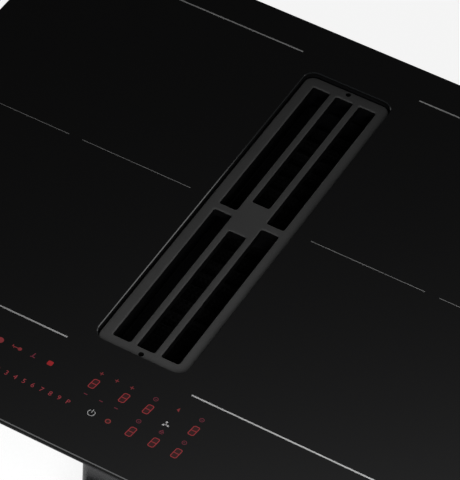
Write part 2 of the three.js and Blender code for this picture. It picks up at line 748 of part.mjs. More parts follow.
// A drawer whose floor falls to the back, behind a front panel with a recess for the finger tips.
function dripTray() {
  const half = PLENUM_WIDTH / 2 - 4 - TRAY_CLEAR;
  const low = WALL + GAP;
  const high = low + TRAY_HEIGHT;
  const back = plenumBack - WALL - 2;
  const panelThick = 4;
  const front = plenumFront - panelThick;
  const wall = 2;
  const length = back - front;
  const tub = prism(roundedRect(2 * half, length, 5, 0, (back + front) / 2), low, high);
  const basin = new THREE.Shape();
  basin.moveTo(front + 5, low + 7);
  basin.lineTo(back - wall, low + 2);
  basin.lineTo(back - wall, high + 2);
  basin.lineTo(front + 5, high + 2);
  const panel = edgedPrism(roundedRect(PLENUM_WIDTH, 36, 4), 0, panelThick, 0.8, 1)
    .rotate([90, 0, 0])
    .translate([0, front, low + 17.5]);
  const gripLength = 52;
  const gripRadius = 8;
  const grip = new THREE.CylinderGeometry(gripRadius, gripRadius, gripLength, 12).rotateZ(Math.PI / 2);
  const gripWall = blockAt(0, front + 6, gripLength / 2 + 3, 4, low + 4, low + 26);
  const shell = join(cut(tub, acrossX(basin, 2 * (half - wall))), panel, gripWall);
  return cut(shell, solid(grip.translate(0, front - 4, low + 16)));
}

// ---------------------------------------------------------------- blower
// The volute's radius grows evenly from its tongue to the start of the duct.
function volutePoint(degrees, extra) {
  const share = (degrees - TONGUE_DEG) / (360 - TONGUE_DEG);
  const radius = SCROLL_START + (SCROLL_END - SCROLL_START) * share + extra;
  const angle = THREE.MathUtils.degToRad(degrees);
  return new THREE.Vector2(BLOWER_X + radius * Math.cos(angle), BLOWER_Y + radius * Math.sin(angle));
}

// The spiral and the widening duct that leaves it, grown outwards by a wall.
function scrollOutline(z0, z1, wall) {
  const spiral = [];
  for (let degrees = TONGUE_DEG; degrees <= 360; degrees += 15) {
    spiral.push(volutePoint(degrees, wall));
  }
  const tongue = volutePoint(TONGUE_DEG, 6);
  const right = BLOWER_X + SCROLL_END + wall;
  const left = OUTLET_X - OUTLET_WIDTH / 2 - wall;
  const slope = wall * Math.SQRT1_2;
  const duct = [
    new THREE.Vector2(BLOWER_X, BLOWER_Y),
    new THREE.Vector2(right, BLOWER_Y),
    new THREE.Vector2(right, OUTLET_Y),
    new THREE.Vector2(left, OUTLET_Y),
    new THREE.Vector2(left, OUTLET_Y - 14),
    new THREE.Vector2(tongue.x - slope, tongue.y - slope),
  ];
  return join(prism(new THREE.Shape(spiral), z0, z1), prism(new THREE.Shape(duct), z0, z1));
}

// The scroll, with its rounded tongue, outside ribs and the three bosses that carry the motor.
function scrollHousing() {
  const shell = cut(scrollOutline(0, SCROLL_TOP, WALL), scrollOutline(WALL, SCROLL_TOP + 1, 0));
  const nose = volutePoint(TONGUE_DEG, 3);
  const tongue = drum(3.2, 1, SCROLL_TOP, nose.x, nose.y, 12);
  const ribs = [];
  for (let degrees = 105; degrees < 340; degrees += 45) {
    const rib = new THREE.BoxGeometry(4, 2.4, SCROLL_TOP - 10).translate(2, 0, SCROLL_TOP / 2 + 5);
    const foot = volutePoint(degrees, WALL / 2);
    ribs.push(solid(rib.rotateZ(THREE.MathUtils.degToRad(degrees)).translate(foot.x, foot.y, 0)));
  }
  const bosses = [0, 120, 240].map((degrees) => {
    const angle = THREE.MathUtils.degToRad(degrees);
    return drum(5, 1, MOTOR_SEAT, BLOWER_X + 52 * Math.cos(angle), BLOWER_Y + 52 * Math.sin(angle), 10);
  });
  return join(shell, tongue, ...ribs, ...bosses);
}

// The lid of the scroll. Its inlet bell curves down into the eye of the wheel.
function blowerCover() {
  const low = SCROLL_TOP + GAP;
  const bellRound = 8;
  const bellDepth = 8;
  const plate = cut(
    scrollOutline(low, low + COVER_THICK, WALL),
    drum(EYE_RADIUS + 5, low - 1, low + COVER_THICK + 1, BLOWER_X, BLOWER_Y, 24),
  );
  const bell = [[EYE_RADIUS + 3, low - bellDepth], [EYE_RADIUS + bellRound, low + 1]];
  for (let i = 3; i >= 0; i -= 1) {
    const angle = (i * Math.PI) / 6;
    const radius = EYE_RADIUS + bellRound * (1 - Math.cos(angle));
    bell.push([radius, low - bellDepth + (bellDepth + 2) * Math.sin(angle)]);
  }
  return join(plate, turned(bell, 24).translate([BLOWER_X, BLOWER_Y, 0]));
}

function hoodShape(radius, left) {
  return new THREE.Shape([
    new THREE.Vector2(left, BLOWER_Y - radius),
    ...arcPoints(BLOWER_X, BLOWER_Y, radius, -90, 90, 14),
    new THREE.Vector2(left, BLOWER_Y + radius),
  ]);
}

// Leads the air from the plenum's window over to the eye.
function suctionHood() {
  const low = SCROLL_TOP + COVER_THICK + 2 * GAP;
  const left = PLENUM_WIDTH / 2 + GAP;
  const outer = prism(hoodShape(HOOD_RADIUS, left), low, HOOD_TOP - 2);
  const inner = prism(hoodShape(HOOD_RADIUS - WALL, left - 10), low - 1, HOOD_TOP - 2 - WALL);
  const ribs = [-50, 0, 50].map((y) =>
    block(60, BLOWER_X + 70, BLOWER_Y + y - 1.2, BLOWER_Y + y + 1.2, HOOD_TOP - 3, HOOD_TOP + 1));
  return join(cut(outer, inner), ...ribs);
}

function outletFlange() {
  const plateHeight = 100;
  const plateThick = 3;
  const bore = () => around(OUTLET_WIDTH, OUTLET_HEIGHT, -2 * WALL, 8);
  const plateOutline = roundedRect(OUTLET_WIDTH + 2 * WALL, plateHeight, 4);
  const spigotOutline = roundedRect(OUTLET_WIDTH, OUTLET_HEIGHT, 10);
  const plate = ringPrism(plateOutline, bore(), 0, plateThick);
  const spigot = ringPrism(spigotOutline, bore(), plateThick - 1, OUTLET_REACH);
  return join(plate, spigot).rotate([-90, 0, 0]).translate([OUTLET_X, OUTLET_Y + GAP, OUTLET_Z]);
}

// One forward-curved blade: a strip of even thickness that leans into the turn as it leaves the eye.
function wheelBlade(root, inner, outer) {
  const half = 0.7;
  const lean = THREE.MathUtils.degToRad(9);
  const samples = 2;
  const lead = [];
  const trail = [];
  for (let s = 0; s <= samples; s += 1) {
    const t = s / samples;
    const radius = inner + (outer - inner) * t;
    const angle = root + lean * t * t;
    const turn = half / radius;
    lead.push(new THREE.Vector2(radius * Math.cos(angle + turn), radius * Math.sin(angle + turn)));
    trail.unshift(new THREE.Vector2(radius * Math.cos(angle - turn), radius * Math.sin(angle - turn)));
  }
  return prism(new THREE.Shape([...trail, ...lead]), IMPELLER_BOTTOM + 1, IMPELLER_TOP - 1);
}

// Forward-curved wheel: a back plate that rises to a hub cup over the motor, blades, a shroud ring.
function impeller() {
  const low = IMPELLER_BOTTOM;
  const rim = IMPELLER_RADIUS;
  const web = turned([
    [HUB_BORE, 58], [CUP_RADIUS - 4, 58], [CUP_RADIUS, low + 4], [CUP_RADIUS + 4, low], [rim, low],
    [rim, low + 2], [CUP_RADIUS + 5, low + 2], [CUP_RADIUS + 2, low + 5], [CUP_RADIUS - 2, 60.5],
    [9, 60.5], [9, 66], [HUB_BORE, 66],
  ], 20);
  const shroud = turned([
    [rim - 7, IMPELLER_TOP - 3], [rim, IMPELLER_TOP - 5], [rim, IMPELLER_TOP], [rim - 7, IMPELLER_TOP],
  ], 24);
  const blades = [];
  for (let i = 0; i < IMPELLER_BLADES; i += 1) {
    blades.push(wheelBlade((i * Math.PI * 2) / IMPELLER_BLADES, rim - 15, rim - 1));
  }
  return join(web, shroud, ...blades);
}

// The stator is wound on a post that stands on a broad foot.
function motorStator() {
  const foot = MOTOR_SEAT + GAP;
  return turned([
    [0, foot], [57, foot], [57, foot + 2.7], [33, 10], [33, 50], [29, 53], [5, 53], [5, 20], [0, 20],
  ], 16);
}

// The shaft carries the rotor cap, which fills the hub cup of the wheel.
function motorRotor() {
  const capLow = 54;
  const capHigh = 57.6;
  return turned([
    [0, 21], [SHAFT_RADIUS, 21], [SHAFT_RADIUS, capLow], [31, capLow], [31, capHigh],
    [SHAFT_RADIUS, capHigh], [SHAFT_RADIUS, 71], [0, 71],
  ], 16);
}

// The blower's electronics hang under the casing, with cooling fins below.
function blowerDriverBox() {
  const shell = edgedPrism(roundedRect(96, 124, 6), 0, DRIVER_HEIGHT, 2, 1);
  const fins = [];
  for (let i = 0; i < 7; i += 1) {
    const x = -36 + i * 12;
    fins.push(block(x - 1, x + 1, -50, 50, -4, 2));
  }
  return join(shell, ...fins);
}

// ---------------------------------------------------------------- worktop clamps
// A bent bracket: its upright lies on the casing wall, its tongue reaches under the worktop.
function worktopClamp(side) {
  const tongueTop = SEAT - SEAL_THICK - WORKTOP_THICK;
  const wall = CASING_WIDTH / 2 + GAP;
  const sheet = 2;
  const reach = 16;
  const high = 26;
  const strap = 24;
  const profile = new THREE.Shape();
  profile.moveTo(0, 0);
  profile.lineTo(reach, 0);
  profile.lineTo(reach, sheet);
  profile.lineTo(sheet + 1.5, sheet);
  profile.quadraticCurveTo(sheet, sheet, sheet, sheet + 1.5);
  profile.lineTo(sheet, high);
  profile.lineTo(0, high);
  const strip = new THREE.ExtrudeGeometry(profile, { depth: strap, bevelEnabled: false, curveSegments: 3 });
  const upright = solid(strip.rotateX(Math.PI / 2).translate(wall, strap / 2, tongueTop - sheet));
  const slot = block(wall - 2, wall + sheet + 0.5, -2.2, 2.2, tongueTop + 8, tongueTop + 20);
  const clamp = cut(upright, slot);
  return side > 0 ? clamp : clamp.rotate([0, 0, 180]);
}

// ---------------------------------------------------------------- assembly
place('glass_top', glassTop(), CERAMIC);
place('worktop_seal', worktopSeal(), FOAM);

const well = station(0, WELL_Y, 0);
place('intake_collar', intakeCollar(), ALUMINIUM, well);
place('intake_grille', intakeGrille(), CAST_IRON, well);
place('well_liner', wellLiner(), POLYMER, well);
place('filter_frame', filterFrame(), ALUMINIUM, well);
place('filter_mesh', filterMesh(), STEEL, well);
place('filter_handle', filterHandle(), STEEL, well);

place('base_casing', baseCasing(), STEEL);
for (const [sideName, side] of SIDES) {
  place(`insulation_${sideName}`, insulationSheet(side), MICA);
  place(`coil_deck_${sideName}`, coilDeck(side), ALUMINIUM);
  for (const [endName, end] of ENDS) {
    const coil = station(side * ZONE_X, ZONE_MID_Y + (end * ZONE_PITCH) / 2, CARRIER_BOTTOM);
    place(`coil_carrier_${endName}_${sideName}`, coilCarrier(), POLYMER, coil);
    const top = station(0, 0, CARRIER_THICK + GAP, coil);
    place(`coil_${endName}_${sideName}`, winding(), COPPER, top);
    place(`coil_sensor_${endName}_${sideName}`, coilSensor(), STEEL, coil);
  }
  const board = station(side * ZONE_X, BOARD_Y, BOARD_Z);
  place(`power_board_${sideName}`, powerBoard(), LAMINATE, board);
  const sink = station(side * ZONE_X + 4, BOARD_Y + 5, BOARD_Z + BOARD_THICK + GAP);
  place(`heat_sink_${sideName}`, heatSink(), ALUMINIUM, sink);
  const fan = station(side * FAN_X, FAN_Y, CASING_FLOOR + SHEET + GAP);
  place(`fan_frame_${sideName}`, fanFrame(), POLYMER, fan);
  place(`fan_rotor_${sideName}`, fanRotor(), POLYMER, fan);
  for (const [endName, end] of ENDS) {
    const clamp = station(0, end * CLAMP_Y, 0);
    place(`worktop_clamp_${endName}_${sideName}`, worktopClamp(side), STEEL, clamp);
  }
}
place('mains_filter_board', mainsFilterBoard(), LAMINATE, station(-ZONE_X, 125, BOARD_Z));
place('control_board', controlBoard(), LAMINATE);
place('control_carrier', controlCarrier(), POLYMER);

const terminal = station(TERMINAL_X, TERMINAL_Y, CASING_FLOOR - TERMINAL_HEIGHT - GAP);
place('terminal_box', terminalBox(), POLYMER, terminal);
place('cable_gland', cableGland(), POLYMER, station(0, TERMINAL_DEPTH / 2 + GAP, GLAND_Z, terminal));

place('plenum_gasket', plenumGasket(), FOAM);
place('plenum_housing', plenumHousing(), POLYMER);
place('drip_tray', dripTray(), POLYMER);
place('scroll_housing', scrollHousing(), POLYMER);
place('blower_cover', blowerCover(), POLYMER);
place('suction_hood', suctionHood(), POLYMER);
place('outlet_flange', outletFlange(), POLYMER);
const blower = station(BLOWER_X, BLOWER_Y, 0);
place('impeller', impeller(), POLYMER, blower);
place('motor_rotor', motorRotor(), STEEL, blower);
place('motor_stator', motorStator(), ALUMINIUM, blower);
const driver = station(DRIVER_X, DRIVER_Y, CASING_FLOOR - DRIVER_HEIGHT - GAP);
place('blower_driver_box', blowerDriverBox(), POLYMER, driver);

export default part;
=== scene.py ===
import json
import math

import bmesh
import bpy
from mathutils import Matrix, Vector

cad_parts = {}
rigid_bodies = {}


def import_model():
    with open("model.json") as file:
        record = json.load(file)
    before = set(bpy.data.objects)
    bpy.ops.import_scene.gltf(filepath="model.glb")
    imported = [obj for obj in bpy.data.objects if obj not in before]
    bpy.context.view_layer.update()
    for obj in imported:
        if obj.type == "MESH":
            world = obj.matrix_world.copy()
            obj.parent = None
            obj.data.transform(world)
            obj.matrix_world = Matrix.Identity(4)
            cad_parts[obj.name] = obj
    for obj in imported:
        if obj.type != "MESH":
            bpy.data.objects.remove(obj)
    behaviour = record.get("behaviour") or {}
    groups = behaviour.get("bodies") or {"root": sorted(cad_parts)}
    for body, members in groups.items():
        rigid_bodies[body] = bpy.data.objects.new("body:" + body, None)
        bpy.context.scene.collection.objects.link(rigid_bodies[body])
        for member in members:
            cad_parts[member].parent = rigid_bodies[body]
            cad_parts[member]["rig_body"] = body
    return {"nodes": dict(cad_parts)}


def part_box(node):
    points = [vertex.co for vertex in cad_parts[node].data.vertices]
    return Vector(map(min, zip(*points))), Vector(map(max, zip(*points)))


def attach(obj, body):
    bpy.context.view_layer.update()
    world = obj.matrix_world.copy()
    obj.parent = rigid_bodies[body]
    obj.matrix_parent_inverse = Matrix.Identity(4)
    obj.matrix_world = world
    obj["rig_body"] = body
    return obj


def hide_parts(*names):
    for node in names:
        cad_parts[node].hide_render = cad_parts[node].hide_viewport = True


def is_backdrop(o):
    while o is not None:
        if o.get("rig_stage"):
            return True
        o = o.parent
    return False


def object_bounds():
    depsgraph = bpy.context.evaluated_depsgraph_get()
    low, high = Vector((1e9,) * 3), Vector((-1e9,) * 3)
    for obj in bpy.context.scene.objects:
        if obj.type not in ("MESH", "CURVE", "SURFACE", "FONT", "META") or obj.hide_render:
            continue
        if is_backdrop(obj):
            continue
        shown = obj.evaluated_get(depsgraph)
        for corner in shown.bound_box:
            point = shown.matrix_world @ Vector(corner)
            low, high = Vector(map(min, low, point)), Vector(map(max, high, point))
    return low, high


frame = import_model()
cad_low, cad_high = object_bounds()


# ---- Camera ---------------------------------------------------------------------------------
# A long lens looks down on the hob from the front, a little from its right, and is tilted slightly.
# The picture is 460 by 480, and the lens is set from its focal length in pixels of the long side.
MM = 0.001
PICTURE_HEIGHT = 480
FOCAL_PIXELS = 3092
SENSOR = 36.0
NEAREST_SEEN = 0.1
FURTHEST_SEEN = 40.0
azimuth = math.radians(26.32)
elevation = math.radians(46.51)
tilt = math.radians(4.38)
distance = 2467 * MM
aim = Vector((0.15, -3.1, 210.0)) * MM

toward_camera = Vector((
    math.sin(azimuth) * math.cos(elevation),
    -math.cos(azimuth) * math.cos(elevation),
    math.sin(elevation),
))
level = (-toward_camera).cross(Vector((0, 0, 1))).normalized()
upright = level.cross(-toward_camera)
right = level * math.cos(tilt) + upright * math.sin(tilt)
top = upright * math.cos(tilt) - level * math.sin(tilt)

camera_data = bpy.data.cameras.new("camera")
camera_data.sensor_width = SENSOR
camera_data.lens = FOCAL_PIXELS / PICTURE_HEIGHT * SENSOR
camera_data.clip_start = NEAREST_SEEN
camera_data.clip_end = FURTHEST_SEEN
camera = bpy.data.objects.new("camera", camera_data)
bpy.context.scene.collection.objects.link(camera)
turn = Matrix((right, top, toward_camera)).transposed().to_4x4()
camera.matrix_world = Matrix.Translation(aim + toward_camera * distance) @ turn
bpy.context.scene.camera = camera
bpy.context.scene.view_settings.view_transform = "Standard"


# ---- Studio ---------------------------------------------------------------------------------
# A white bay with a dark ceiling: a pale floor, a bright horizon, and a soft key near the front right
# corner. A graded panel overhead gives the glass its slow change from near black to dark grey.
def add_node(tree, kind, inputs=None, **settings):
    made = tree.nodes.new(kind)
    for name, value in settings.items():
        setattr(made, name, value)
    for name, value in (inputs or {}).items():
        if isinstance(value, bpy.types.NodeSocket):
            tree.links.new(value, made.inputs[name])
        else:
            made.inputs[name].default_value = value
    return made


def blend_colours(tree, factor, first, second):
    mix = add_node(tree, "ShaderNodeMix", data_type="RGBA")
    for index, value in ((0, factor), (6, first), (7, second)):
        if isinstance(value, bpy.types.NodeSocket):
            tree.links.new(value, mix.inputs[index])
        else:
            mix.inputs[index].default_value = value
    return mix.outputs[2]


def compute(tree, operation, first, second=0.0, third=0.0):
    made = add_node(tree, "ShaderNodeMath", operation=operation)
    for index, value in enumerate((first, second, third)):
        if isinstance(value, bpy.types.NodeSocket):
            tree.links.new(value, made.inputs[index])
        else:
            made.inputs[index].default_value = value
    return made.outputs[0]


def spread(tree, value, low, high, to_low, to_high, smooth=False):
    made = add_node(tree, "ShaderNodeMapRange", {
        "From Min": low, "From Max": high, "To Min": to_low, "To Max": to_high, "Value": value,
    })
    made.interpolation_type = "SMOOTHSTEP" if smooth else "LINEAR"
    return made.outputs[0]


def grey(value):
    return (value, value, value, 1)


WHITE = grey(1.0)
CEILING = 0.050
FILL = 0.045
BAY_FROM, BAY_TO = 0.04, 0.34

world = bpy.data.worlds.new("studio")
bpy.context.scene.world = world
world.use_nodes = True
air = world.node_tree
background = air.nodes["Background"]
path = add_node(air, "ShaderNodeLightPath")
direction = add_node(air, "ShaderNodeTexCoord")
height = add_node(air, "ShaderNodeSeparateXYZ", {"Vector": direction.outputs["Generated"]})
bay = spread(air, height.outputs["Z"], BAY_FROM, BAY_TO, 1.0, CEILING, smooth=True)
fill = blend_colours(air, path.outputs["Is Diffuse Ray"], bay, grey(FILL))
seen = blend_colours(air, path.outputs["Is Camera Ray"], fill, WHITE)
air.links.new(seen, background.inputs["Color"])

FLOOR_RADIUS = 9.0
FLOOR_DROP = 0.2 * MM
FLOOR_LIT = grey(0.75)
FLOOR_SHOWN = grey(0.25)
FLOOR_GLOW = 0.893

floor_mesh = bpy.data.meshes.new("floor")
floor_shape = bmesh.new()
bmesh.ops.create_circle(floor_shape, cap_ends=True, radius=FLOOR_RADIUS, segments=64)
floor_shape.to_mesh(floor_mesh)
floor_shape.free()
floor_mesh.transform(Matrix.Translation((0, 0, -FLOOR_DROP)))
floor = bpy.data.objects.new("floor", floor_mesh)
bpy.context.scene.collection.objects.link(floor)
floor_paint = bpy.data.materials.new("floor_paint")
floor_paint.use_nodes = True
paint = floor_paint.node_tree
paint.nodes.clear()
rays = add_node(paint, "ShaderNodeLightPath")
shown = compute(paint, "MAXIMUM", rays.outputs["Is Camera Ray"], rays.outputs["Is Glossy Ray"])
shown = compute(paint, "MAXIMUM", shown, rays.outputs["Is Transmission Ray"])
floor_tone = blend_colours(paint, shown, FLOOR_LIT, FLOOR_SHOWN)
matt = add_node(paint, "ShaderNodeBsdfDiffuse", {"Color": floor_tone})
backdrop = compute(paint, "MULTIPLY", shown, FLOOR_GLOW)
glow = add_node(paint, "ShaderNodeEmission", {"Color": WHITE, "Strength": backdrop})
both = add_node(paint, "ShaderNodeAddShader")
paint.links.new(matt.outputs[0], both.inputs[0])
paint.links.new(glow.outputs[0], both.inputs[1])
add_node(paint, "ShaderNodeOutputMaterial", {"Surface": both.outputs[0]})
floor_mesh.materials.append(floor_paint)
floor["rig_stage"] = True


def soft_light(name, place, target, size, watts):
    """A round or oval lamp of (width, height) that faces its target and stays out of sight."""
    data = bpy.data.lights.new(name, "AREA")
    data.shape = "ELLIPSE"
    data.size, data.size_y = size
    data.energy = watts
    lamp = bpy.data.objects.new(name, data)
    bpy.context.scene.collection.objects.link(lamp)
    lamp.location = place
    lamp.rotation_mode = "QUATERNION"
    lamp.rotation_quaternion = (Vector(place) - Vector(target)).to_track_quat("Z", "Y")
    lamp.visible_camera = False
    return lamp


key = soft_light(
    "key", place=(0.345, -0.45, 0.53), target=(0.02, -0.08, 0.21), size=(0.30, 0.30), watts=4.1)
key.visible_glossy = False
rim_front = soft_light(
    "rim_front", place=(-0.30, -0.91, 0.765), target=(-0.02, -0.2575, 0.21), size=(0.34, 0.28), watts=0.62)
rim_front.visible_diffuse = False
rim_right = soft_light(
    "rim_right", place=(0.69, 0.52, 0.52), target=(-0.04, -0.10, 0.21), size=(0.30, 0.12), watts=0.23)
rim_right.visible_diffuse = False

# The panel hangs level above the glass. The camera's mirror image, seen through the glass plane, draws
# lines through the glass that reach the panel further out, so distances on it are stretched.
PANEL_HEIGHT = 0.9
PANEL_HALF = 0.95
PANEL_SLOPE = Vector((2.2, -2.7, 0))
PANEL_GROWTH = 1.9
PANEL_LEVEL = 0.045
PANEL_FADE_FROM, PANEL_FADE_TO = 0.62, 0.93
glass_plane = cad_high[2]
eye = aim + toward_camera * distance
stretch = 1 + PANEL_HEIGHT / (eye.z - glass_plane)
panel_shift = Vector((eye.x, eye.y)) * (1 - stretch)
panel_mesh = bpy.data.meshes.new("graded_panel")
panel_shape = bmesh.new()
bmesh.ops.create_grid(panel_shape, x_segments=1, y_segments=1, size=PANEL_HALF)
panel_shape.to_mesh(panel_mesh)
panel_shape.free()
panel = bpy.data.objects.new("graded_panel", panel_mesh)
bpy.context.scene.collection.objects.link(panel)
panel.location = (panel_shift.x, panel_shift.y, glass_plane + PANEL_HEIGHT)
panel.visible_camera = False
panel.visible_diffuse = False
panel.visible_shadow = False
panel.visible_transmission = False
panel_light = bpy.data.materials.new("panel_light")
panel_light.use_nodes = True
card = panel_light.node_tree
card.nodes.clear()
spot = add_node(card, "ShaderNodeTexCoord")
slope = add_node(card, "ShaderNodeVectorMath", {
    0: spot.outputs["Object"], 1: PANEL_SLOPE / stretch,
}, operation="DOT_PRODUCT")
rise = compute(card, "EXPONENT", compute(card, "MULTIPLY", slope.outputs["Value"], PANEL_GROWTH))
reach = add_node(card, "ShaderNodeVectorMath", {0: spot.outputs["Object"]}, operation="LENGTH")
fade = spread(
    card, reach.outputs["Value"], PANEL_FADE_FROM, PANEL_FADE_TO, PANEL_LEVEL, 0.0, smooth=True)
lift = compute(card, "MULTIPLY_ADD", rise, fade, 0.9 * CEILING)
shine = add_node(card, "ShaderNodeEmission", {"Color": WHITE, "Strength": lift})
add_node(card, "ShaderNodeOutputMaterial", {"Surface": shine.outputs[0]})
panel_mesh.materials.append(panel_light)
panel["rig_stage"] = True


# ---- Ceramic glass ----------------------------------------------------------------------------
# A 4 mm plate of black ceramic glass, cut by water jet, with ground and polished arrises all round
# and round the intake. It is wiped every day, so its gloss changes slowly over the surface.

# Two effects that the finishes share are read from the place on the object. Grain is the fine tooth of a
# moulded, cast or rolled surface, and handling the slow change of gloss that wiping and touching leave.
def effect_group(name, inputs, outputs):
    group = bpy.data.node_groups.new(name, "ShaderNodeTree")
    for label, value in inputs:
        socket = group.interface.new_socket(name=label, in_out="INPUT", socket_type="NodeSocketFloat")
        socket.default_value = value
    for label in outputs:
        group.interface.new_socket(name=label, in_out="OUTPUT", socket_type="NodeSocketFloat")
    return group, group.nodes.new("NodeGroupInput"), group.nodes.new("NodeGroupOutput")


grain_group, grain_in, grain_out = effect_group(
    "grain", [("Per Metre", 2000.0), ("Pits", 0.3)], ["Height", "Tone"])
spot = add_node(grain_group, "ShaderNodeTexCoord").outputs["Object"]
tooth = add_node(grain_group, "ShaderNodeTexNoise", {
    "Vector": spot, "Scale": grain_in.outputs["Per Metre"], "Detail": 3.0, "Roughness": 0.6,
}).outputs["Fac"]
cells = add_node(grain_group, "ShaderNodeTexVoronoi", {
    "Vector": spot, "Scale": compute(grain_group, "MULTIPLY", grain_in.outputs["Per Metre"], 0.6),
}).outputs["Distance"]
pitted = compute(grain_group, "MULTIPLY_ADD", cells, grain_in.outputs["Pits"], tooth)
clouds = add_node(grain_group, "ShaderNodeTexNoise", {
    "Vector": spot, "Detail": 4.0,
    "Scale": compute(grain_group, "MULTIPLY", grain_in.outputs["Per Metre"], 0.02),
}).outputs["Fac"]
grain_group.links.new(pitted, grain_out.inputs["Height"])
grain_group.links.new(clouds, grain_out.inputs["Tone"])

handling_group, handling_in, handling_out = effect_group(
    "handling", [("Size", 8.0), ("Sharpness", 2.0)], ["Mask"])
spot = add_node(handling_group, "ShaderNodeTexCoord").outputs["Object"]
swirl = add_node(handling_group, "ShaderNodeTexNoise", {
    "Vector": spot, "Scale": handling_in.outputs["Size"],
    "Detail": 5.0, "Roughness": 0.55, "Distortion": 0.8,
}).outputs["Fac"]
centred = compute(handling_group, "SUBTRACT", swirl, 0.5)
mask = compute(handling_group, "MULTIPLY_ADD", centred, handling_in.outputs["Sharpness"], 0.5)
limited = add_node(handling_group, "ShaderNodeClamp", {"Value": mask}).outputs[0]
handling_group.links.new(limited, handling_out.inputs["Mask"])


REFRACTION = 1.5


def new_skin(name, metallic=0.0):
    material = bpy.data.materials.new(name)
    material.use_nodes = True
    skin = material.node_tree.nodes["Principled BSDF"]
    skin.inputs["Metallic"].default_value = metallic
    skin.inputs["IOR"].default_value = REFRACTION
    return material, material.node_tree, skin


def effect(tree, group, inputs=None):
    made = add_node(tree, "ShaderNodeGroup", node_tree=group)
    for name, value in (inputs or {}).items():
        made.inputs[name].default_value = value
    return made


WIPED_PALER = 1.15


def glass_finish(name, colour, gloss):
    """Polished glass whose tone and gloss drift where it has been wiped."""
    material, tree, skin = new_skin(name)
    wiped = effect(tree, handling_group, {"Size": 5.0, "Sharpness": 1.6}).outputs["Mask"]
    worn = tuple(WIPED_PALER * part for part in colour)
    shown = blend_colours(tree, wiped, colour + (1,), worn + (1,))
    tree.links.new(shown, skin.inputs["Base Color"])
    tree.links.new(spread(tree, wiped, 0.0, 1.0, *gloss), skin.inputs["Roughness"])
    return material


def raise_grain(tree, skin, strength, depth, height):
    """Turns a height into fine relief on the skin, with its depth in metres."""
    bump = add_node(tree, "ShaderNodeBump", {"Strength": strength, "Distance": depth, "Height": height})
    tree.links.new(bump.outputs[0], skin.inputs["Normal"])


glass_skin = glass_finish("ceramic_glass", (0.0015, 0.0015, 0.0017), gloss=(0.045, 0.075))
arris_skin = glass_finish("polished_arris", (0.0095, 0.0105, 0.0115), gloss=(0.105, 0.135))
edge_skin, tree, skin = new_skin("ground_edge")
skin.inputs["Specular IOR Level"].default_value = 0.12
ground = effect(tree, grain_group, {"Per Metre": 3500.0, "Pits": 0.4})
shown = blend_colours(tree, ground.outputs["Tone"], grey(0.0012), grey(0.0045))
tree.links.new(shown, skin.inputs["Base Color"])
tree.links.new(spread(tree, ground.outputs["Tone"], 0.3, 0.7, 0.7, 0.85), skin.inputs["Roughness"])
raise_grain(tree, skin, 0.4, 0.03 * MM, ground.outputs["Height"])

TOUCHING = 1e-6
FLAT_WITHIN = math.radians(1.0)
ROUNDED_OVER = math.radians(32)
SHARP_OVER = math.radians(34)
ROUND_SEGMENTS = 2


def softened(name, width, slivers=False):
    """A copy of a node with its arrises broken by a small round, shaded smooth along its curves."""
    source = frame["nodes"][name]
    shape = bmesh.new()
    shape.from_mesh(source.data)
    bmesh.ops.remove_doubles(shape, verts=shape.verts, dist=TOUCHING)
    bmesh.ops.dissolve_limit(shape, angle_limit=FLAT_WITHIN, verts=shape.verts, edges=shape.edges)
    mesh = bpy.data.meshes.new(name + "_shell")
    shape.to_mesh(mesh)
    shape.free()
    piece = bpy.data.objects.new(name + "_shell", mesh)
    bpy.context.scene.collection.objects.link(piece)
    piece.data.materials.clear()
    if width > 0:
        rounding = piece.modifiers.new("rounding", "BEVEL")
        rounding.width = width * MM
        rounding.segments = ROUND_SEGMENTS
        rounding.limit_method = "ANGLE"
        rounding.angle_limit = ROUNDED_OVER
        bake_modifiers(piece)
        if slivers:
            drop_slivers(piece.data)
    piece.data.shade_smooth()
    piece.data.set_sharp_from_angle(angle=SHARP_OVER)
    flats = piece.modifiers.new("flats", "WEIGHTED_NORMAL")
    flats.keep_sharp = True
    bake_modifiers(piece)
    return piece


def drop_slivers(mesh):
    """Edges shorter than a micron, and faces without area, go."""
    shape = bmesh.new()
    shape.from_mesh(mesh)
    bmesh.ops.dissolve_degenerate(shape, edges=shape.edges, dist=TOUCHING)
    shape.to_mesh(mesh)
    shape.free()


def bake_modifiers(piece):
    """The piece's own mesh becomes what its modifiers made, and they go."""
    plain = piece.data
    depsgraph = bpy.context.evaluated_depsgraph_get()
    made = bpy.data.meshes.new_from_object(piece.evaluated_get(depsgraph))
    piece.modifiers.clear()
    piece.data = made
    bpy.data.meshes.remove(plain)


def stand_in(piece, node, *skins):
    """The piece takes the node's place and its body, with the given finishes, and the node is hidden."""
    for skin in skins:
        piece.data.materials.append(skin)
    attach(piece, frame["nodes"][node]["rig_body"])
    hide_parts(node)
    return piece


# The top is polished, its arrises slope at 45 degrees, and the edges and the underside are ground.
GROUND_BELOW = 0.3
ARRIS_BELOW = 0.9

plate = softened("glass_top", 0)
for polygon in plate.data.polygons:
    slope = polygon.normal.z
    polygon.material_index = 1 if slope < GROUND_BELOW else 2 if slope < ARRIS_BELOW else 0
stand_in(plate, "glass_top", glass_skin, edge_skin, arris_skin)


# ---- Zone marks -------------------------------------------------------------------------------
# Thin lines of grey enamel fired onto the glass mark the front and back of each cooking zone.
# The line between two zones is finer and darker, and is broken in its middle.
GLASS = 210.0
INK_HEIGHT = 0.03


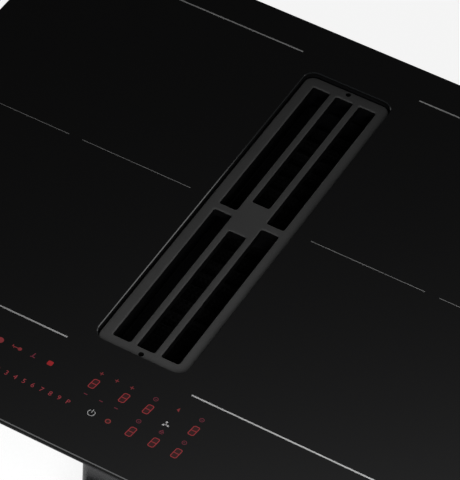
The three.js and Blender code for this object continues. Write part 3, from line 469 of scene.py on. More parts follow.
def grained_skin(name, dark, pale, gloss, per_metre, depth, pits=0.3, metallic=0.0):
    """A finish with grain, cloudy tone between two colours, and roughness between two values."""
    material, tree, skin = new_skin(name, metallic)
    grain = effect(tree, grain_group, {"Per Metre": per_metre, "Pits": pits})
    worn = effect(tree, handling_group, {"Size": 14.0, "Sharpness": 2.4})
    tone = spread(tree, grain.outputs["Tone"], 0.3, 0.7, 0.0, 1.0)
    tree.links.new(blend_colours(tree, tone, dark, pale), skin.inputs["Base Color"])
    tree.links.new(spread(tree, worn.outputs["Mask"], 0.0, 1.0, *gloss), skin.inputs["Roughness"])
    raise_grain(tree, skin, 0.5, depth, grain.outputs["Height"])
    return material


def slab(name, sheets, height):
    """Flat sheets of (points, polygons), all anticlockwise, made into closed slabs. Sizes in mm."""
    vertices = []
    faces = []
    for points, polygons in sheets:
        base = len(vertices)
        count = len(points)
        for level in (GLASS, GLASS + height):
            vertices += [(x * MM, y * MM, level * MM) for x, y in points]
        edges = set()
        for polygon in polygons:
            faces.append([base + count + i for i in polygon])
            faces.append([base + i for i in reversed(polygon)])
            edges.update(zip(polygon, polygon[1:] + polygon[:1]))
        for a, b in edges:
            if (b, a) not in edges:
                faces.append([base + a, base + b, base + count + b, base + count + a])
    mesh = bpy.data.meshes.new(name)
    mesh.from_pydata(vertices, [], faces)
    piece = bpy.data.objects.new(name, mesh)
    bpy.context.scene.collection.objects.link(piece)
    return piece


def ribbon(points, width, closed=False):
    """A flat strip of even width along a line of points, mitred at its corners."""
    count = len(points)
    sides = []
    for i, point in enumerate(points):
        here = Vector(point)
        before = Vector(points[i - 1]) if closed or i > 0 else None
        after = Vector(points[(i + 1) % count]) if closed or i < count - 1 else None
        incoming = (here - before).normalized() if before else (after - here).normalized()
        outgoing = (after - here).normalized() if after else incoming
        along = (incoming + outgoing).normalized()
        out = Vector((along.y, -along.x)) * (width / 2 / max(along.dot(outgoing), 0.4))
        sides += [tuple(here + out), tuple(here - out)]
    links = count if closed else count - 1
    polygons = []
    for i in range(links):
        a, b = 2 * i, 2 * ((i + 1) % count)
        polygons.append([a, b, b + 1, a + 1])
    return sides, polygons


def bar(x0, x1, y, width):
    return ribbon([(x0, y), (x1, y)], width)


ZONE_INNER = 55.5
ZONE_OUTER = 274.5
ZONE_BACK = 221.5
ZONE_MIDDLE = 30.45
ZONE_FRONT = -160.2
GAP_FROM = 158.2
GAP_TO = 171.0
LINE_WIDTH = 1.4
FINE_WIDTH = 0.55
edge_lines = []
middle_lines = []
for side in (-1, 1):
    inner, outer = sorted((side * ZONE_INNER, side * ZONE_OUTER))
    edge_lines += [bar(inner, outer, y, LINE_WIDTH) for y in (ZONE_BACK, ZONE_FRONT)]
    for start, end in ((ZONE_INNER, GAP_FROM), (GAP_TO, ZONE_OUTER)):
        low, high = sorted((side * start, side * end))
        middle_lines.append(bar(low, high, ZONE_MIDDLE, FINE_WIDTH))
edge_print = grained_skin(
    "zone_enamel", dark=grey(0.32), pale=grey(0.38),
    gloss=(0.45, 0.6), per_metre=4000, depth=0.01 * MM)
middle_print = grained_skin(
    "zone_enamel_fine", dark=grey(0.19), pale=grey(0.235),
    gloss=(0.45, 0.6), per_metre=4000, depth=0.01 * MM)
for name, sheets, skin in (
    ("zone_lines", edge_lines, edge_print),
    ("zone_lines_middle", middle_lines, middle_print),
):
    piece = slab(name, sheets, INK_HEIGHT)
    piece.data.materials.append(skin)
    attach(piece, "hob")


# ---- Touch controls ---------------------------------------------------------------------------
# Red figures shine through the glass from displays and light guides under it: a slider with figures,
# a display for each zone and timer, and small lamps for the functions. Two marks are printed in white.
def arc(x, y, radius, start, end, steps):
    angles = [math.radians(start + (end - start) * i / steps) for i in range(steps + 1)]
    return [(x + radius * math.cos(a), y + radius * math.sin(a)) for a in angles]


def ring(x, y, radius, width, steps=20):
    return ribbon(arc(x, y, radius, 0, 360 - 360 / steps, steps - 1), width, closed=True)


def disc(x, y, radius, steps=16):
    points = arc(x, y, radius, 0, 360 - 360 / steps, steps - 1)
    return points, [list(range(steps))]


def lens_shape(points):
    return points, [list(range(len(points)))]


DIGIT_WIDTH = 4.9
DIGIT_HEIGHT = 9.4
DIGIT_LEAN = 0.11
DIGIT_STROKE = 0.62
CORNER_CUT = 0.9


def digit_outline(x, y, grow=0.0):
    """The leaning rounded rectangle that a display digit fills, anticlockwise."""
    half = DIGIT_WIDTH / 2 + grow
    high = DIGIT_HEIGHT / 2 + grow
    corners = [
        (-half + CORNER_CUT, -high), (half - CORNER_CUT, -high), (half, -high + CORNER_CUT),
        (half, high - CORNER_CUT), (half - CORNER_CUT, high), (-half + CORNER_CUT, high),
        (-half, high - CORNER_CUT), (-half, -high + CORNER_CUT),
    ]
    return [(x + u + DIGIT_LEAN * v, y + v) for u, v in corners]


def display_eight(x, y):
    """All seven strokes of a digit lit: its outline, and the bar across its middle."""
    inside = DIGIT_WIDTH / 2 - DIGIT_STROKE / 2
    outline = ribbon(digit_outline(x, y), DIGIT_STROKE, closed=True)
    return [outline, bar(x - inside, x + inside, y, DIGIT_STROKE)]


ROW_BACK = -190.0
ROW_FRONT = -215.8
DISPLAYS_BACK = (-13.4, 13.4, 34.5, 74.5)
DISPLAYS_FRONT = (34.7, 54.6, 74.3)
GLOW_BEYOND = 0.2

bright = []
glow = []
for row, columns in ((ROW_BACK, DISPLAYS_BACK), (ROW_FRONT, DISPLAYS_FRONT)):
    for x in columns:
        bright += display_eight(x, row)
        glow.append(lens_shape(digit_outline(x, row, grow=GLOW_BEYOND)))

LAMP = (14.8, -216.2)
orange = [ring(*LAMP, 1.9, 0.85)]
glow.append(disc(*LAMP, 2.3))

PLUS_ROW = -178.1
MINUS_ROW = -202.0
COLUMNS = (-13.5, 0.1, 13.4)
PLUS_HALF = 1.75
PLUS_STROKE = 0.6
MINUS_HALF = 1.55
medium = []
dim = []
for x in COLUMNS:
    medium.append(bar(x - PLUS_HALF, x + PLUS_HALF, PLUS_ROW, PLUS_STROKE))
    medium.append(ribbon([(x, PLUS_ROW + PLUS_STROKE / 2), (x, PLUS_ROW + PLUS_HALF)], PLUS_STROKE))
    medium.append(ribbon([(x, PLUS_ROW - PLUS_HALF), (x, PLUS_ROW - PLUS_STROKE / 2)], PLUS_STROKE))
    dim.append(bar(x - MINUS_HALF, x + MINUS_HALF, MINUS_ROW, 0.75))

ARROW = [(53.1, -178.7), (55.6, -180.2), (54.8, -176.0)]
medium.append(lens_shape(ARROW))

KEY_ROW = -190.1
KEY_SHAFT = (-86.6, -81.2)
KEY_TEETH = ((-86.2, 1.5, 0.4), (-84.7, -1.4, -0.4))
KEY_BOW = -79.8
medium.append(bar(*KEY_SHAFT, KEY_ROW, 0.75))
for x, tip, root in KEY_TEETH:
    medium.append(ribbon([(x, KEY_ROW + tip), (x, KEY_ROW + root)], 0.7))
medium.append(disc(KEY_BOW, KEY_ROW, 1.75, steps=7))

HOLD_SIGN = (-97.6, -190.3)
medium.append(disc(*HOLD_SIGN, 3.0))

STOP_SIGN = (-52.5, -190.0)
STOP_INNER = 1.2
STOP_CORNER = 1.1
rounded = []
for right_side, back_side, start in ((1, 1, 0), (-1, 1, 90), (-1, -1, 180), (1, -1, 270)):
    corner = (STOP_SIGN[0] + right_side * STOP_INNER, STOP_SIGN[1] + back_side * STOP_INNER)
    rounded += arc(*corner, STOP_CORNER, start, start + 90, 3)
filled = [lens_shape(rounded)]

HAND_SIGN = [(-67.1, -187.4), (-67.9, -191.3), (-65.4, -191.9)]
HAND_THUMB = [(-69.3, -192.2), (-68.2, -191.5)]
dim.append(ribbon(HAND_SIGN, 0.9))
dim.append(ribbon(HAND_THUMB, 0.8))
TIMERS = ((34.5, -203.9), (74.3, -203.8), (34.5, -178.2), (74.5, -177.6))
for x, y in TIMERS:
    dim.append(ring(x, y, 1.75, 0.55))
    dim.append(bar(x - 0.75, x + 0.75, y, 0.5))
HOUSE_ROOF = [(52.8, -204.0), (54.5, -201.9), (56.2, -204.0)]
HOUSE_FLOOR = (52.9, 56.1, -205.4)
dim.append(ribbon(HOUSE_ROOF, 0.65, closed=True))
dim.append(bar(*HOUSE_FLOOR, 0.6))


WEAKEST = 0.72


def lit_skin(name, colour):
    """Light from under the glass, a little uneven along each guide."""
    material, tree, skin = new_skin(name)
    uneven = effect(tree, handling_group, {"Size": 260.0, "Sharpness": 1.4})
    weak = tuple(WEAKEST * part for part in colour) + (1,)
    shown = blend_colours(tree, uneven.outputs["Mask"], weak, colour + (1,))
    tree.links.new(shown, skin.inputs["Emission Color"])
    skin.inputs["Emission Strength"].default_value = 1.0
    skin.inputs["Base Color"].default_value = (0.004, 0.003, 0.003, 1)
    skin.inputs["Roughness"].default_value = 0.3
    return material


FIGURE_FLAT = math.radians(0.5)
FIGURE_CURVE_STEPS = 4


def figures_mesh(name, entries, size):
    """Words of one or two signs set as text, made a mesh, and put in their places. Sizes in mm."""
    joined = bmesh.new()
    for sign, x, y in entries:
        text = bpy.data.curves.new(name, "FONT")
        text.body = sign
        text.size = size * MM
        text.align_x = "CENTER"
        text.align_y = "CENTER"
        text.extrude = INK_HEIGHT * MM / 2
        text.resolution_u = FIGURE_CURVE_STEPS
        holder = bpy.data.objects.new(name, text)
        flat = bpy.data.meshes.new_from_object(holder)
        flat.transform(Matrix.Translation((x * MM, y * MM, (GLASS + INK_HEIGHT / 2) * MM)))
        joined.from_mesh(flat)
        bpy.data.meshes.remove(flat)
        bpy.data.objects.remove(holder)
    mesh = bpy.data.meshes.new(name)
    bmesh.ops.remove_doubles(joined, verts=joined.verts, dist=TOUCHING)
    bmesh.ops.dissolve_limit(joined, angle_limit=FIGURE_FLAT, verts=joined.verts, edges=joined.edges)
    bmesh.ops.triangulate(joined, faces=joined.faces)
    bmesh.ops.beautify_fill(joined, faces=joined.faces, edges=joined.edges)
    joined.to_mesh(mesh)
    joined.free()
    drop_slivers(mesh)
    piece = bpy.data.objects.new(name, mesh)
    bpy.context.scene.collection.objects.link(piece)
    return piece


SLIDER_FIRST = -99.1
SLIDER_STEP = 7.83
SLIDER_ROW = -216.0
SLIDER_SIZE = 6.2
signs = [str(i) for i in range(10)] + ["P"]
slider = [(sign, SLIDER_FIRST + i * SLIDER_STEP, SLIDER_ROW) for i, sign in enumerate(signs)]

POWER_MARK = (-0.1, -215.7)
POWER_RADIUS = 2.9
POWER_BAR = (-215.4, -211.8)
WHITE_STROKE = 0.55
white = [ribbon(arc(*POWER_MARK, POWER_RADIUS, 123, 417, 22), WHITE_STROKE)]
white.append(ribbon([(POWER_MARK[0], y) for y in POWER_BAR], WHITE_STROKE))

FAN_MARK = Vector((53.5, -195.6))
FAN_BLADE_AT = 2.1
FAN_BLADE_RADIUS = 0.95
FAN_ARM = (0.1, 0.95)
for start in (100, 220, 340):
    outward = Vector((math.cos(math.radians(start)), math.sin(math.radians(start))))
    white.append(disc(*(FAN_MARK + FAN_BLADE_AT * outward), FAN_BLADE_RADIUS))
    white.append(ribbon([tuple(FAN_MARK + reach * outward) for reach in FAN_ARM], 0.4))

white_print = grained_skin(
    "mark_enamel", dark=grey(0.30), pale=grey(0.36), gloss=(0.4, 0.55), per_metre=4000, depth=0.01 * MM)
GLOW_HEIGHT = 0.4 * INK_HEIGHT
for name, sheets, skin, height in (
    ("display_glow", glow, lit_skin("lamp_glow", (0.022, 0.0012, 0.0018)), GLOW_HEIGHT),
    ("displays_lit", bright, lit_skin("lamp_bright", (0.275, 0.022, 0.028)), INK_HEIGHT),
    ("lamp_lit", orange, lit_skin("lamp_orange", (0.19, 0.022, 0.021)), INK_HEIGHT),
    ("signs_lit", medium, lit_skin("lamp_medium", (0.175, 0.018, 0.022)), INK_HEIGHT),
    ("keys_lit", filled, lit_skin("lamp_full", (0.27, 0.009, 0.012)), INK_HEIGHT),
    ("signs_dim", dim, lit_skin("lamp_dim", (0.115, 0.012, 0.025)), INK_HEIGHT),
    ("marks_white", white, white_print, INK_HEIGHT),
):
    piece = slab(name, sheets, height)
    piece.data.materials.append(skin)
    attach(piece, "hob")
slider_piece = figures_mesh("slider_lit", slider, SLIDER_SIZE)
slider_piece.data.materials.append(lit_skin("lamp_slider", (0.24, 0.025, 0.034)))
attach(slider_piece, "hob")


# ---- Intake grille ----------------------------------------------------------------------------
# Cast iron under a matt black enamel, with the sand of its mould showing through. It lies loose on its
# ledge, a little below the glass. Rubbing dulls its top a little. The walls of its slots are painted near
# black, far darker than the enamel and almost without shine, as painted shade.
WORN_DULLER = 0.08


def iron_finish(name, dark, pale, roughness, shine):
    """Enamel over sand-cast iron, a little duller where it has been rubbed."""
    material, tree, skin = new_skin(name)
    skin.inputs["Specular IOR Level"].default_value = shine
    sand = effect(tree, grain_group, {"Per Metre": 1300.0, "Pits": 0.5})
    rubbed = effect(tree, handling_group, {"Size": 18.0, "Sharpness": 2.0})
    clouded = spread(tree, sand.outputs["Tone"], 0.3, 0.7, 0.0, 1.0)
    tree.links.new(blend_colours(tree, clouded, dark, pale), skin.inputs["Base Color"])
    duller = spread(tree, rubbed.outputs["Mask"], 0.0, 1.0, roughness, roughness + WORN_DULLER)
    tree.links.new(duller, skin.inputs["Roughness"])
    raise_grain(tree, skin, 0.5, 0.20 * MM, sand.outputs["Height"])
    return material


# Faces steeper than this are the slot walls, which carry the painted shade.
SHADED_WALL_BELOW = 0.25

grate = softened("intake_grille", 0)
for polygon in grate.data.polygons:
    polygon.material_index = 1 if polygon.normal.z < SHADED_WALL_BELOW else 0
iron_top = iron_finish("iron_enamel", dark=grey(0.035), pale=grey(0.044), roughness=0.38, shine=0.60)
# The slot walls get a copy of the enamel coloured near black, as painted shade.
painted_shade_walls = iron_finish(
    "iron_walls_painted_shade", dark=(0.0020, 0.0020, 0.0021, 1), pale=(0.0030, 0.0030, 0.0031, 1),
    roughness=0.80, shine=0.06)
stand_in(grate, "intake_grille", iron_top, painted_shade_walls)


# ---- Collar, throat and grease filter ---------------------------------------------------------
# A black-painted casting under the glass, a moulded throat below it, and a pleated mesh filter in a thin
# frame. Their colours are pushed to near black, darker than real paint or moulding, as painted shade, so
# the well looks black between the bars.
def dress(name, material):
    """Gives a CAD node its finish and leaves its mesh alone."""
    node = frame["nodes"][name]
    node.data.materials.clear()
    node.data.materials.append(material)
    return node


# The well's finishes are coloured darker than any paint or moulding and almost without shine, as painted
# shade.
WELL_SHADE_SHINE = 0.12
cast_painted_shade = grained_skin(
    "casting_painted_shade", dark=(0.0035, 0.0035, 0.004, 1), pale=(0.006, 0.006, 0.0065, 1),
    gloss=(0.62, 0.78), per_metre=1600, depth=0.05 * MM)
throat_painted_shade = grained_skin(
    "throat_painted_shade", dark=(0.003, 0.003, 0.0035, 1), pale=(0.005, 0.005, 0.0055, 1),
    gloss=(0.65, 0.8), per_metre=1800, depth=0.03 * MM)
for finish in (cast_painted_shade, throat_painted_shade):
    finish.node_tree.nodes["Principled BSDF"].inputs["Specular IOR Level"].default_value = WELL_SHADE_SHINE
dress("intake_collar", cast_painted_shade)
dress("well_liner", throat_painted_shade)

# The filter mesh is coloured near black as painted shade; its checker is the pattern of the strands.
filter_painted_shade, tree, skin = new_skin("filter_mesh_painted_shade")
skin.inputs["Specular IOR Level"].default_value = 0.15
spot = add_node(tree, "ShaderNodeTexCoord").outputs["Object"]
STRANDS_PER_METRE = 320
place = add_node(tree, "ShaderNodeMapping", {
    "Vector": spot, "Rotation": (0, 0, math.radians(45)), "Scale": (STRANDS_PER_METRE,) * 3,
})
holes = add_node(tree, "ShaderNodeTexChecker", {"Vector": place.outputs[0], "Scale": 1.0}).outputs["Fac"]
woven_painted_shade = blend_colours(tree, holes, grey(0.0015), (0.0050, 0.0050, 0.0052, 1))
tree.links.new(woven_painted_shade, skin.inputs["Base Color"])
tree.links.new(spread(tree, holes, 0, 1, 0.9, 0.62), skin.inputs["Roughness"])
raise_grain(tree, skin, 0.6, 0.3 * MM, holes)
dress("filter_mesh", filter_painted_shade)
# The frame and the handle take the same near-black painted shade.
dress("filter_frame", cast_painted_shade)
dress("filter_handle", cast_painted_shade)


# ---- Foam seals -------------------------------------------------------------------------------
# Closed-cell foam, die cut with an adhesive back. One strip lies under the rim of the glass, and one is
# squeezed between the casing and the plenum, so that no air is lost.
foam_skin = grained_skin(
    "foam", dark=(0.022, 0.022, 0.024, 1), pale=(0.035, 0.035, 0.037, 1),
    gloss=(0.8, 0.95), per_metre=1400, depth=0.2 * MM, pits=0.9)
dress("worktop_seal", foam_skin)
dress("plenum_gasket", foam_skin)


# ---- Base casing ------------------------------------------------------------------------------
# The tray that holds all the works, of galvanised steel, folded and spot welded, with a faint spangle.
# Its rim is turned in and bonded under the glass.
SPANGLES_PER_METRE = 130.0
SPANGLE_CONTRAST = 0.9
SPANGLE_DULLER = 0.08
FOLD_ROUND = 0.35
casing_skin, tree, skin = new_skin("galvanised_sheet", metallic=1.0)
spot = add_node(tree, "ShaderNodeTexCoord").outputs["Object"]
crystals = add_node(tree, "ShaderNodeTexVoronoi", {"Vector": spot, "Scale": SPANGLES_PER_METRE})
tint = add_node(tree, "ShaderNodeSeparateColor", {"Color": crystals.outputs["Color"]}).outputs["Red"]
shade = spread(tree, tint, 0.0, 1.0, 0.0, SPANGLE_CONTRAST)
zinc = blend_colours(tree, shade, (0.50, 0.515, 0.53, 1), (0.66, 0.675, 0.69, 1))
tree.links.new(zinc, skin.inputs["Base Color"])
smear = effect(tree, handling_group, {"Size": 22.0, "Sharpness": 2.0})
rough = spread(tree, smear.outputs["Mask"], 0, 1, 0.34, 0.46)
tree.links.new(compute(tree, "MULTIPLY_ADD", tint, SPANGLE_DULLER, rough), skin.inputs["Roughness"])
rolled = effect(tree, grain_group, {"Per Metre": 900.0, "Pits": 0.1})
raise_grain(tree, skin, 0.25, 0.04 * MM, rolled.outputs["Height"])
stand_in(softened("base_casing", FOLD_ROUND), "base_casing", casing_skin)


# ---- Coils and their decks --------------------------------------------------------------------
# Flat windings of varnished litz wire on moulded carriers, under mica sheet, pressed up by sprung
# aluminium decks. None of it shows unless the hob is taken apart.
TURNS_SCALE = 60.0


def winding_skin(name, centre):
    """Copper turns that run round the given centre."""
    material, tree, skin = new_skin(name, metallic=0.85)
    spot = add_node(tree, "ShaderNodeTexCoord").outputs["Object"]
    moved = add_node(tree, "ShaderNodeMapping", {"Vector": spot, "Location": (-centre.x, -centre.y, 0)})
    turns = add_node(tree, "ShaderNodeTexWave", {
        "Vector": moved.outputs[0], "Scale": TURNS_SCALE, "Distortion": 0.4, "Detail": 1.0,
    }, wave_type="RINGS", rings_direction="Z").outputs["Fac"]
    copper = blend_colours(tree, turns, (0.22, 0.08, 0.035, 1), (0.62, 0.30, 0.16, 1))
    tree.links.new(copper, skin.inputs["Base Color"])
    tree.links.new(spread(tree, turns, 0, 1, 0.55, 0.3), skin.inputs["Roughness"])
    raise_grain(tree, skin, 0.7, 0.4 * MM, turns)
    return material


carrier_skin = grained_skin(
    "carrier_polymer", dark=(0.030, 0.030, 0.031, 1), pale=(0.045, 0.045, 0.047, 1),
    gloss=(0.5, 0.65), per_metre=1500, depth=0.04 * MM)
mica_skin = grained_skin(
    "mica_sheet", dark=(0.36, 0.31, 0.22, 1), pale=(0.55, 0.49, 0.37, 1),
    gloss=(0.45, 0.7), per_metre=500, depth=0.05 * MM, pits=0.8)
deck_skin = grained_skin(
    "mill_aluminium", dark=(0.50, 0.51, 0.52, 1), pale=(0.62, 0.63, 0.64, 1),
    gloss=(0.3, 0.45), per_metre=1200, depth=0.02 * MM, metallic=1.0)
plated_skin = grained_skin(
    "zinc_plate", dark=(0.46, 0.47, 0.47, 1), pale=(0.60, 0.61, 0.60, 1),
    gloss=(0.28, 0.42), per_metre=1600, depth=0.02 * MM, metallic=1.0)
for side in ("left", "right"):
    dress(f"insulation_{side}", mica_skin)
    dress(f"coil_deck_{side}", deck_skin)
    for end in ("front", "back"):
        low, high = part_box(f"coil_{end}_{side}")
        dress(f"coil_{end}_{side}", winding_skin(f"litz_{end}_{side}", (low + high) / 2))
        dress(f"coil_carrier_{end}_{side}", carrier_skin)
        dress(f"coil_sensor_{end}_{side}", plated_skin)


# ---- Boards, heat sinks and fans --------------------------------------------------------------
# Glass-fibre laminate with green solder mask and tinned tracks. The sinks are extruded, and the fans
# are moulded.
board_skin, tree, skin = new_skin("solder_mask")
spot = add_node(tree, "ShaderNodeTexCoord").outputs["Object"]
tracks = add_node(tree, "ShaderNodeTexBrick", {
    "Vector": spot, "Scale": 90.0, "Mortar Size": 0.03,
    "Color1": grey(0.0), "Color2": grey(0.0), "Mortar": WHITE,
}).outputs["Color"]
tone = effect(tree, grain_group, {"Per Metre": 600.0}).outputs["Tone"]
mask_green = blend_colours(
    tree, spread(tree, tone, 0.3, 0.7, 0, 1), (0.010, 0.075, 0.035, 1), (0.020, 0.12, 0.055, 1))
tree.links.new(blend_colours(tree, tracks, mask_green, (0.035, 0.20, 0.09, 1)), skin.inputs["Base Color"])
tree.links.new(spread(tree, tone, 0.3, 0.7, 0.3, 0.45), skin.inputs["Roughness"])
fan_skin = grained_skin(
    "fan_polymer", dark=(0.035, 0.035, 0.037, 1), pale=(0.050, 0.050, 0.052, 1),
    gloss=(0.38, 0.5), per_metre=2200, depth=0.02 * MM)
for side in ("left", "right"):
    dress(f"power_board_{side}", board_skin)
    dress(f"heat_sink_{side}", deck_skin)
    dress(f"fan_frame_{side}", fan_skin)
    dress(f"fan_rotor_{side}", fan_skin)
dress("mains_filter_board", board_skin)
dress("control_board", board_skin)
dress("control_carrier", carrier_skin)


# ---- Moulded housings -------------------------------------------------------------------------
# Plenum, tray, scroll, its lid and hood, duct flange, driver box, terminal box and gland are injection
# moulded in black, glass-filled polymer with a fine spark-eroded grain.
moulded_skin = grained_skin(
    "moulded_polymer", dark=(0.016, 0.016, 0.018, 1), pale=(0.024, 0.024, 0.026, 1),
    gloss=(0.42, 0.58), per_metre=1500, depth=0.06 * MM, pits=0.6)
MOULD_ROUNDS = {
    "plenum_housing": 0.6, "drip_tray": 0.5, "scroll_housing": 0.6, "blower_cover": 0.5,
    "suction_hood": 0.8, "outlet_flange": 0.5, "blower_driver_box": 0.5, "terminal_box": 0.6,
    "cable_gland": 0.4,
}
for node, width in MOULD_ROUNDS.items():
    stand_in(softened(node, width, slivers=(node == "drip_tray")), node, moulded_skin)


# ---- Wheel and motor --------------------------------------------------------------------------
# The blower's wheel is moulded in one with its forward-curved blades and pressed on the motor's shaft.
# The motor has a pressed and plated steel rotor, and a stator on a cast aluminium foot.
dress("impeller", fan_skin)
dress("motor_rotor", plated_skin)
dress("motor_stator", deck_skin)


# ---- Worktop clamps ---------------------------------------------------------------------------
# Brackets that pull the rim down on the worktop, bent from zinc-plated spring steel. Each is held by a
# screw in its slot.
CLAMP_ROUND = 0.25
for side in ("left", "right"):
    for end in ("front", "back"):
        node = f"worktop_clamp_{end}_{side}"
        stand_in(softened(node, CLAMP_ROUND), node, plated_skin)


# ---- Screws -----------------------------------------------------------------------------------
# Pan-head screws with a six-lobe recess, cold formed and zinc plated. They close the sheet casing, hold
# the boards, lids, flanges and blower cover, and draw each clamp up against the casing.
HEAD_CORNERS = 12
HEAD_SHARP_OVER = math.radians(40)


def screw_head():
    """One head of radius 1, standing on the XY plane: (even radius, odd radius, height) of its rings."""
    outside = [(1.0, 1.0, 0.0), (1.0, 1.0, 0.24), (0.84, 0.84, 0.50), (0.60, 0.60, 0.60)]
    recess = [(0.46, 0.33, 0.61), (0.42, 0.30, 0.20)]
    shape = bmesh.new()
    made = []
    for tip, dip, height in outside + recess:
        corners = []
        for i in range(HEAD_CORNERS):
            radius = dip if i % 2 else tip
            angle = 2 * math.pi * i / HEAD_CORNERS
            corners.append(shape.verts.new((radius * math.cos(angle), radius * math.sin(angle), height)))
        made.append(corners)
    for lower, upper in zip(made, made[1:]):
        for i in range(HEAD_CORNERS):
            j = (i + 1) % HEAD_CORNERS
            shape.faces.new((lower[i], lower[j], upper[j], upper[i]))
    shape.faces.new(reversed(made[0]))
    shape.faces.new(made[-1])
    bmesh.ops.recalc_face_normals(shape, faces=shape.faces)
    mesh = bpy.data.meshes.new("screw_head")
    shape.to_mesh(mesh)
    shape.free()
    mesh.shade_smooth()
    mesh.set_sharp_from_angle(angle=HEAD_SHARP_OVER)
    return mesh


screw_tree = bpy.data.node_groups.new("screw_set", "GeometryNodeTree")
screw_tree.is_modifier = True
screw_inputs = {}
for label, kind in (
    ("Places", "NodeSocketGeometry"), ("Head", "NodeSocketObject"), ("Finish", "NodeSocketMaterial"),
    ("Turn Seed", "NodeSocketInt"),
):
    socket = screw_tree.interface.new_socket(name=label, in_out="INPUT", socket_type=kind)
    screw_inputs[label] = socket.identifier
screw_tree.interface.new_socket(name="Screws", in_out="OUTPUT", socket_type="NodeSocketGeometry")
given = add_node(screw_tree, "NodeGroupInput")
head = add_node(screw_tree, "GeometryNodeObjectInfo", {"Object": given.outputs["Head"]})
facing = add_node(
    screw_tree, "GeometryNodeInputNamedAttribute", {"Name": "facing"}, data_type="FLOAT_VECTOR")
size = add_node(screw_tree, "GeometryNodeInputNamedAttribute", {"Name": "size"}, data_type="FLOAT")
upright_turn = add_node(
    screw_tree, "FunctionNodeAlignRotationToVector", {"Vector": facing.outputs[0]}, axis="Z")
chance = add_node(screw_tree, "FunctionNodeRandomValue", data_type="FLOAT")
chance.inputs[3].default_value = math.tau
screw_tree.links.new(given.outputs["Turn Seed"], chance.inputs["Seed"])
spin = add_node(
    screw_tree, "FunctionNodeAxisAngleToRotation", {"Axis": (0, 0, 1), "Angle": chance.outputs[1]})
turned = add_node(screw_tree, "FunctionNodeRotateRotation", {
    "Rotation": upright_turn.outputs[0], "Rotate By": spin.outputs[0],
}, rotation_space="LOCAL")
placed = add_node(screw_tree, "GeometryNodeInstanceOnPoints", {
    "Points": given.outputs["Places"], "Instance": head.outputs["Geometry"],
    "Rotation": turned.outputs[0], "Scale": size.outputs[0],
})
plain = add_node(screw_tree, "GeometryNodeRealizeInstances", {"Geometry": placed.outputs[0]})
finished = add_node(screw_tree, "GeometryNodeSetMaterial", {
    "Geometry": plain.outputs[0], "Material": given.outputs["Finish"],
})
add_node(screw_tree, "NodeGroupOutput", {"Screws": finished.outputs[0]})

head_object = bpy.data.objects.new("screw_head", screw_head())
bpy.context.scene.collection.objects.link(head_object)


def screws(name, places, finish, seed):
    """Places are (x, y, z, facing, radius of the head), in mm."""
    mesh = bpy.data.meshes.new(name + "_places")
    mesh.from_pydata([(x * MM, y * MM, z * MM) for x, y, z, _, _ in places], [], [])
    mesh.attributes.new("facing", "FLOAT_VECTOR", "POINT")
    mesh.attributes.new("size", "FLOAT", "POINT")
    for i, (_, _, _, direction, radius) in enumerate(places):
        mesh.attributes["facing"].data[i].vector = direction
        mesh.attributes["size"].data[i].value = radius * MM
    piece = bpy.data.objects.new(name, mesh)
    bpy.context.scene.collection.objects.link(piece)
    maker = piece.modifiers.new("screws", "NODES")
    maker.node_group = screw_tree
    maker[screw_inputs["Head"]] = head_object
    maker[screw_inputs["Finish"]] = finish
    maker[screw_inputs["Turn Seed"]] = seed
    bake_modifiers(piece)
    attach(piece, "hob")
    return piece


def end_of(node, axis, high):
    """Where a CAD node ends along an axis (0, 1 or 2), at its low or its high end, in mm."""
    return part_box(node)[high][axis] / MM


LOW, HIGH = 0, 1
X, Y, Z = 0, 1, 2
LEFT, RIGHT = (-1, 0, 0), (1, 0, 0)
FRONT, BACK = (0, -1, 0), (0, 1, 0)
DOWN, UP = (0, 0, -1), (0, 0, 1)
ALL_SIDES = (-1, 1)

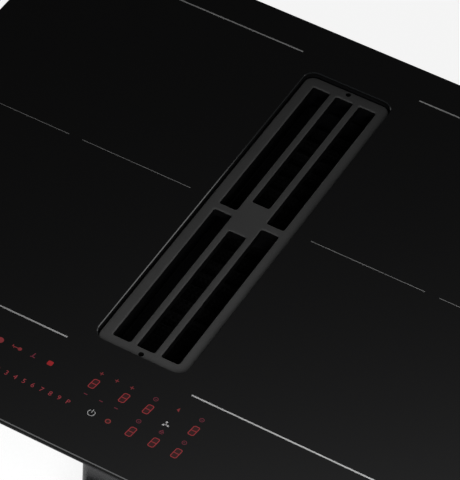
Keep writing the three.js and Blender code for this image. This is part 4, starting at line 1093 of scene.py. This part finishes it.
RIM_LEVEL = 199.5
RIM_HEAD = 2.6
FLOOR_HEAD = 2.8
casing_places = []
for along in (-200, -78, 78, 200):
    casing_places += [
        (end_of("base_casing", X, LOW), along, RIM_LEVEL, LEFT, RIM_HEAD),
        (end_of("base_casing", X, HIGH), along, RIM_LEVEL, RIGHT, RIM_HEAD),
        (along, end_of("base_casing", Y, LOW), RIM_LEVEL, FRONT, RIM_HEAD),
        (along, end_of("base_casing", Y, HIGH), RIM_LEVEL, BACK, RIM_HEAD),
    ]
casing_floor = end_of("base_casing", Z, LOW)
for x in (-247, -83, 83, 247):
    casing_places += [(x, y, casing_floor, DOWN, FLOOR_HEAD) for y in (-137, 57)]
screws("casing_screws", casing_places, plated_skin, seed=3)

PLENUM_HEAD = 2.3
PLENUM_ASIDE = 53.0
plenum_rim = end_of("plenum_housing", Z, HIGH) - 3.0
plenum_round = [(side * PLENUM_ASIDE, y) for side in ALL_SIDES for y in (-120, -60, 0, 100, 160)]
plenum_round += [(0, -158.5), (0, 216.5)]
housing_places = [(x, y, plenum_rim, DOWN, PLENUM_HEAD) for x, y in plenum_round]

terminal_floor = end_of("terminal_box", Z, LOW)
housing_places += [(x, y, terminal_floor, DOWN, 2.6) for x in (-257.5, -186.5) for y in (156.5, 217.5)]
driver_ledge = end_of("blower_driver_box", Z, LOW) + 4.0
housing_places += [(x, y, driver_ledge, DOWN, 2.4) for x in (-152, -68) for y in (-76, 36)]

cover_rim = [(60, 190), (130, 190), (200, 190), (270, 190), (270, 130), (270, 65), (270, 0), (155, -132)]
cover_top = end_of("blower_cover", Z, HIGH)
housing_places += [(x, y, cover_top, UP, 2.6) for x, y in cover_rim]
duct_flange = end_of("outlet_flange", Y, LOW) + 3.0
housing_places += [(x, duct_flange, z, BACK, 2.5) for x in (57, 164.5, 272) for z in (8.5, 99.5)]
screws("housing_screws", housing_places, plated_skin, seed=8)

CLAMP_FACE = 280.3
CLAMP_ALONG = 150
CLAMP_LEVEL = 178
CLAMP_HEAD = 5.0
clamp_places = [
    (side * CLAMP_FACE, end * CLAMP_ALONG, CLAMP_LEVEL, (side, 0, 0), CLAMP_HEAD)
    for side in ALL_SIDES for end in ALL_SIDES
]
screws("clamp_screws", clamp_places, plated_skin, seed=5)
bpy.data.objects.remove(head_object)

low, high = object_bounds()
